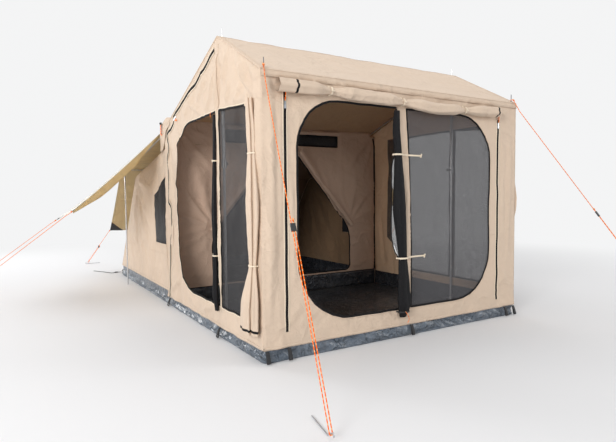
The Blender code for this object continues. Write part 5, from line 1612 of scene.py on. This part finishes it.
def makeFrontTies():
    straps, toggles = [], []
    look = rollShapes["front"]
    for share in look["ties"]:
        size, z = (float(row[0]) for row in frontRollAt(np.array([share])))
        radius, x = look["radius"] * size, look["middle"] + look["half"] * share
        straps.append(strapOver(at(x, 0, z), (0, 0, 1), (0, -1, 0), radius, radius, 0, 0.006, 0.014))
        toggles.append(togglePart(at(x, -2 * radius - 0.008, z - 0.004), (1, 0, 0), 0.026, 0.005))
    heights, drifts, halves = netRows("frontNet", 200)
    for z, end in tiePlaces["post"]:
        drift, half = rowAt(z, heights, drifts, halves)
        middle = drift + rollShapes["frontNet"]["side"]
        straps.append(strapOver(at(middle, 0, z), (1, 0, 0), (0, -1, 0), half, half * netDepthShare, 0,
                                end - middle - half - 0.008, 0.012))
        toggles.append(togglePart(at(end - 0.006, -0.010, z), (0.3, 0, 0.95), 0.030, 0.006))
    z = tiePlaces["footLoop"]
    drift, half = rowAt(z, heights, drifts, halves)
    loop = [strapOver(at(drift + rollShapes["frontNet"]["side"], 0, z), (1, 0, 0), (0, -1, 0), half,
                      half * netDepthShare, 0, 0, 0.012)]
    string = cordPart(smoothPath([at(*place) for place in tiePlaces["footString"]], 5), 0.0022, 6)
    pull = tabPart([at(*place) for place in tiePlaces["frontPull"]])
    newPiece("frontDoorPull", [pull], "orangeRope")
    newPiece("frontTies", straps, "creamAndPaintedHighlight")
    newPiece("frontToggles", toggles, "creamAndPaintedHighlight")
    newPiece("frontNetFootLoop", loop, "blackWebbing")
    newPiece("frontNetFootString", [string], "orangeRope")


def makeSideTies():
    heights, middles, halves, depths = bundleRows(200)
    for side, label in bothSides:
        straps, toggles, out = [], [], (side, 0, 0)
        for z, toggled in tiePlaces["bundle"]:
            s, half, depth = rowAt(z, heights, middles, halves, depths)
            depth *= rollShapes["bundle"]["depthShare"][label]
            straps.append(strapOver(at(side * wallX, s, z), (0, 1, 0), out, half * 0.96, depth * 0.94, 0,
                                    0.012 if toggled else 0, 0.009))
            if toggled:
                toggles.append(togglePart(at(side * (wallX + 0.012), s + half + 0.020, z), (0, 0.5, 0.87), 0.026,
                                          0.006))
        if side < 0:
            rows, drifts, widths = netRows("sideNet", 200)
            for z in tiePlaces["netRoll"]:
                drift, half = rowAt(z, rows, drifts, widths)
                s = ridgeBack + rollShapes["sideNet"]["back"] + drift
                straps.append(strapOver(at(side * wallX, s, z), (0, 1, 0), out, half, half * netDepthShare, 0.012,
                                        0.010, 0.010))
                toggles.append(togglePart(at(side * (wallX + 0.014), s + half + 0.012, z), (0, 0.5, 0.87), 0.028,
                                          0.006))
        newPiece(f"{label}Ties", straps, "creamAndPaintedHighlight")
        newPiece(f"{label}Toggles", toggles, "creamAndPaintedHighlight")
        pulls = []
        for s, z in tiePlaces["doorPulls"]:
            x = side * (wallX + 0.010)
            pulls.append(tabPart([at(x, s, z + 0.020), at(x + side * 0.004, s + 0.002, z),
                                  at(x + side * 0.002, s - 0.003, z - 0.022)]))
        newPiece(f"{label}DoorPulls", pulls, "orangeRope")


def makeSliderPulls():
    # each pull rides on the slider that it opens
    for label in ("left", "right"):
        low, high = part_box(f"front_slider_{label}")
        x, y, z = (low.x + high.x) / 2, low.y, high.z
        tab = tabPart([(x, y - 0.0015, z - 0.022), (x + 0.001, y - 0.004, z), (x + 0.003, y - 0.003, z + 0.032)],
                      0.016, 0.006)
        newPiece(f"front{label.title()}Pull", [tab], "orangeRope", body=f"front_slider_{label}")
        low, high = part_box(f"side_slider_{label}")
        side = -1 if label == "left" else 1
        x, y, z = (low.x if side < 0 else high.x) + side * 0.0022, low.y, low.z
        tabs = [tabPart([(x, y + 0.024, z + 0.012), (x + side * 0.003, y - 0.004, z - 0.004),
                         (x + side * 0.002, y - 0.040, z - 0.010)],
                        0.014, 0.006)]
        newPiece(f"side{label.title()}Pull", tabs, "orangeRope", body=f"side_slider_{label}")


def makePegLoops():
    loops = [bandThrough(pegLoopLine, at(x, 0, 0), (0, -1, 0), (0, 0, 1), bandProfile(0.024, 0.0022))
             for x in tiePlaces["pegLoopX"]]
    for side in (-1, 1):
        loops += [bandThrough(pegLoopLine, at(side * wallX, s, 0), (side, 0, 0), (0, 0, 1),
                              bandProfile(0.024, 0.0022))
                  for s in tiePlaces["pegLoopS"]]
    newPiece("pegLoops", loops, "blackWebbing")


coverShape = {  # along s: how far the cover rises off the roof's corner, stands off the wall and hangs down on it
    "s": (1.900, 1.950, 2.010, 2.060, 2.100, 2.135, 2.165, 2.185, 2.200),
    "rise": (0.002, 0.036, 0.076, 0.100, 0.106, 0.098, 0.084, 0.074, 0.060),
    "out": (0.001, 0.002, 0.004, 0.007, 0.010, 0.012, 0.012, 0.012, 0.010),
    "hang": (0.002, 0.004, 0.012, 0.110, 0.150, 0.160, 0.160, 0.155, 0.150), "half": 0.040, "inner": 0.13,
}


def hubCover(side):
    # the doubled corner of the roof that is sewn over the hub
    c = coverShape
    s = np.linspace(c["s"][0], c["s"][-1], 37)
    rise, out, hang = (np.interp(s, c["s"], c[key])[:, None] for key in ("rise", "out", "hang"))
    top = roofHeight(np.minimum(s, livingRear))[:, None]
    corner = np.radians(np.linspace(0, 90, 13))[None]
    reach = c["half"] + out
    bend = np.abs(np.sin(corner)) ** 0.6, np.abs(np.cos(corner)) ** 0.6
    x = wallX - c["half"] + reach * bend[0]
    z = top - c["half"] + (c["half"] + rise) * bend[1]
    share = np.linspace(0, 1, 9)[None]
    flat = smoothStep(share)
    innerX = wallX - c["half"] - c["inner"] * (1 - share) + 0 * top
    innerZ = top + 0.0015 + (rise - 0.0015) * flat
    lowX = wallX + out + 0 * share
    lowZ = top - c["half"] - hang * share
    x = np.concatenate([innerX, x[:, 1:], lowX[:, 1:]], 1)
    z = np.concatenate([innerZ, z[:, 1:], lowZ[:, 1:]], 1)
    around = np.arange(x.shape[1])[None] * 0.012
    wave = 0.0035 * softNoise(s[:, None], around, 0.05, 171) * nearEdge(s[:, None] - c["s"][0], 0.05)
    return atAll(side * (x + wave * (z < top)), s[:, None], z + wave * (z >= top))


hubFittings = {  # straps as (distance off the wall, height), and the cap's stations outwards
    "strap": [(0.018, 1.728), (0.023, 1.716), (0.022, 1.690), (0.021, 1.665), (0.024, 1.645), (0.014, 1.622)],
    "rearStrap": [(0.010, 1.630), (0.004, 1.606), (-0.002, 1.570), (0.006, 1.530), (-0.004, 1.480), (0.004, 1.420),
                  (-0.002, 1.360)],
    "strapBack": 2.125, "capBack": 2.130, "capHeight": 1.738, "capOut": (0.012, 0.026, 0.030, 0.032),
    "capSizes": (0.011, 0.011, 0.009, 0.003), "rearStrapIn": 0.010, "rearStrapBack": 0.028,
}


def makeHubCovers():
    h = hubFittings
    for side, label in bothSides:
        points = hubCover(side)
        fine = np.linspace(0, 0.36, points.shape[0])[:, None]
        around = np.linspace(0, 0.30, points.shape[1])[None]
        newPiece(f"{label}HubCover", [loft(points, fine, around)], "sandCanvas", thickness=0.0012)
        out, up = (side, 0, 0), (0, 0, 1)
        strap = bandThrough(h["strap"], at(side * wallX, h["strapBack"], 0), out, up, bandProfile(0.022, 0.003))
        cap = sweep([at(side * (wallX + reach), h["capBack"], h["capHeight"]) for reach in h["capOut"]], up,
                    ovalProfile(2, 2, 12)[None] * np.array(h["capSizes"])[:, None, None])
        newPiece(f"{label}HubCap", [cap], "blackPlastic")
        newPiece(f"{label}HubStrap", [strap], "orangeRope")
        start = side * (wallX - h["rearStrapIn"]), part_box(f"hub_{label}")[0].y + h["rearStrapBack"], 0
        hung = bandThrough(h["rearStrap"], start, out, up, bandProfile(0.042, 0.003))
        newPiece(f"{label}RearStrap", [hung], "paintedShadeCanvas")


def makeRearStraps():
    # the peg strap of each rear corner lies on the floor
    for side, label in bothSides:
        route = [(1.150, 4.440, 0.050), (1.170, 4.470, 0.016), (1.220, 4.500, 0.004), (1.295, 4.485, 0.003),
                 (1.340, 4.560, 0.003), (1.383, 4.656, 0.003), (1.430, 4.740, 0.003), (1.474, 4.831, 0.003)]
        strap = sweep(smoothPath([at(side * x, s, z) for x, s, z in route], 6), (0, 0, 1), bandProfile(0.020, 0.0024))
        ring = sweep([at(side * (1.235 + 0.022 * cos(a)), 4.497 + 0.022 * sin(a), 0.0075)
                      for a in np.linspace(0, 2 * pi, 24)[:-1]],
                     (0, 0, 1), ovalProfile(0.006, 0.006, 8), closed=True)
        newPiece(f"{label}RearPegStrap", [strap], "blackWebbing")
        newPiece(f"{label}RearPegRing", [ring], "blackPlastic")


flapShape = {"top": (0.150, 1.500), "foot": (0.820, 0.690), "size": 0.030, "flat": (1.05, 0.42), "off": 0.006,
             "ventHalf": 0.66, "ventSize": 0.026, "ventLift": 0.034, "ventFlat": (1.32, 0.24)}


def makeDividerFlaps():
    # the door's and the vent's flaps, rolled up along the openings' edges
    f = flapShape
    for side, label in bothSides:
        ends = np.array([(side * x, z) for x, z in (f["top"], f["foot"])])
        share = np.linspace(0, 1, 60)[:, None]
        flat = ends[0] * (1 - share) + ends[1] * share
        ahead = (ends[1] - ends[0]) / np.linalg.norm(ends[1] - ends[0])
        square = np.array([ahead[1], -ahead[0]]) * (1 if ahead[1] * side > 0 else -1)
        size = f["size"] - 0.012 * np.exp(-((share - 0.42) / 0.06) ** 2) + 0.004 * softNoise(share, 0.0, 0.12, 181)
        size = size[:, 0]
        flat = flat + square * (size[:, None] * 0.6)
        spine = np.stack([flat[:, 0], np.full(60, frontY + dividerBack - f["off"]) - size * 0.7, flat[:, 1]], -1)
        across = (float(square[0]), 0.0, float(square[1]))
        part = rolledCloth(spine, size, size * 0.7, across, (0, -1, 0), 5, 0.30, 5, 0.30, 182)
        made = newPiece(f"{label}DoorFlap", [part], "paintedShadeCanvas")
    share = np.linspace(0, 1, 80)
    x = -f["ventHalf"] + 2 * f["ventHalf"] * share
    size = f["ventSize"] - 0.009 * (np.exp(-((share - 0.27) / 0.04) ** 2) + np.exp(-((share - 0.73) / 0.04) ** 2))
    z = innerDoor["ventHigh"] + f["ventLift"] + 0.006 * softNoise(share, 0.0, 0.2, 183)
    spine = np.stack([x, np.full(80, frontY + dividerBack - f["off"]) - size * 0.7, z], -1)
    part = rolledCloth(spine, size, size * 0.7, (0, 0, 1), (0, -1, 0), 3, 0.30, 4, 0.25, 184)
    made = newPiece("ventFlap", [part], "paintedShadeCanvas")


makeFrontTrim()
makeSideTrim()
makeRoofTrim()
makeBedroomTrim()
makeDividerTrim()
print("zips, bindings and seams sewn")

makeFrontTies()
makeSideTies()
makeSliderPulls()
makePegLoops()
makeHubCovers()
makeRearStraps()
makeDividerFlaps()
print("ties, toggles, pulls, loops and flaps made")


# Frame parts and fittings that keep their shape get a better finish

cadFinishes = [  # the start of a node's name, and its finish
    ("peak_pole", "poleMetal"), ("corner_pole", "darkMetal"), ("ridge_bar", "poleMetal"), ("knee_bar", "poleMetal"),
    ("roof_rail", "poleMetal"), ("fly_rail", "poleMetal"), ("rear_leg", "poleMetal"), ("clamp_lever", "blackPlastic"),
    ("hub", "blackPlastic"), ("front_runner", "blackPlastic"), ("rear_runner", "blackPlastic"),
    ("front_slider", "zipMetal"), ("side_slider", "zipMetal"),
]


def finishFrame():
    for name, node in cad.items():
        found = [kind for start, kind in cadFinishes if name.startswith(start)]
        if "_peg_" in name:
            found = ["pegSteel"]
        for slot in node.material_slots if found else []:
            slot.material = finish[found[0]]


finishFrame()
print("frame parts finished")


# Floor, light and surroundings

studio = {"background": (0.905, 0.908, 0.912), "ambient": 0.53, "floorRadius": 16, "nearFloor": 3.2, "farFloor": 7.5}


def makeFloor():
    count, radii = 96, (0.0, 1, 2, 3, 4, 5, 6.5, 8, 10, 12.5, studio["floorRadius"])
    angle = np.linspace(0, 2 * pi, count + 1)
    points = np.stack([np.stack([r * np.cos(angle), r * np.sin(angle), angle * 0 - 0.0008], -1) for r in radii])
    made = meshObject("studioFloor", [weld(loft(points, np.array(radii)[:, None], angle[None]))], "studioFloor")


def makeFloorFinish():
    made, tree, shader, _, places = blankMaterial("studioFloor")
    base = unevenColour(tree, places, (0.82, 0.82, 0.83), 1.5, 0.004)
    setInputs(tree, shader, {"Base Color": base, "Roughness": 0.95, "Specular IOR Level": 0.1})
    away = newNode(tree, "ShaderNodeVectorMath", {0: places}, operation="LENGTH").outputs["Value"]
    share = smoothRange(tree, away, studio["nearFloor"], studio["farFloor"])
    seen = newNode(tree, "ShaderNodeLightPath").outputs
    seenShare = calc(tree, "MAXIMUM", seen["Is Camera Ray"], seen["Is Glossy Ray"])
    glow = newNode(tree, "ShaderNodeEmission", {"Color": (*studio["background"], 1), "Strength": 1.0}).outputs[0]
    factor = calc(tree, "MULTIPLY", share, seenShare)
    both = newNode(tree, "ShaderNodeMixShader", {0: factor, 1: shader.outputs[0], 2: glow}).outputs[0]
    tree.links.new(both, tree.nodes["Material Output"].inputs["Surface"])
    return made


def makeWorld():
    world = bpy.data.worlds.new("studio")
    world.use_nodes = True
    tree = world.node_tree
    seen = newNode(tree, "ShaderNodeLightPath").outputs
    share = calc(tree, "MAXIMUM", seen["Is Camera Ray"], seen["Is Glossy Ray"])
    share = calc(tree, "MAXIMUM", share, seen["Is Transmission Ray"])
    level = studio["ambient"]
    colour = mixColour(tree, share, (level, level, level, 1), (*studio["background"], 1))
    tree.links.new(colour, tree.nodes["Background"].inputs["Color"])
    bpy.context.scene.world = world


lamps = {  # place, the place it points at, size, power
    "overhead": {"place": (0.0, 0.5, 7.5), "aim": (0, 0, 0), "size": 7.0, "power": 205},
    "frontLeft": {"place": (-8.0, -6.4, 3.4), "aim": (0, 0, 0.8), "size": 3.2, "power": 470},
    "rearLeft": {"place": (-5.5, 7.5, 2.8), "aim": (-1.2, 1.0, 0.8), "size": 3.0, "power": 300},
    "frontRight": {"place": (7.0, -6.5, 3.5), "aim": (0, 0, 0.8), "size": 3.5, "power": 165},
}


def makeLamps():
    for name, look in lamps.items():
        data = bpy.data.lights.new(name, "AREA")
        data.shape = "SQUARE"
        data.size = look["size"]
        data.energy = look["power"]
        lamp = bpy.data.objects.new(name, data)
        lamp.location = look["place"]
        towards = Vector(look["aim"]) - Vector(look["place"])
        lamp.rotation_euler = towards.to_track_quat("-Z", "Y").to_euler()
        bpy.context.scene.collection.objects.link(lamp)


finish["studioFloor"] = makeFloorFinish()
makeFloor()
makeWorld()
makeLamps()
setCamera()
print("studio lit and camera set")
bpy.context.scene.view_settings.view_transform = "Standard"
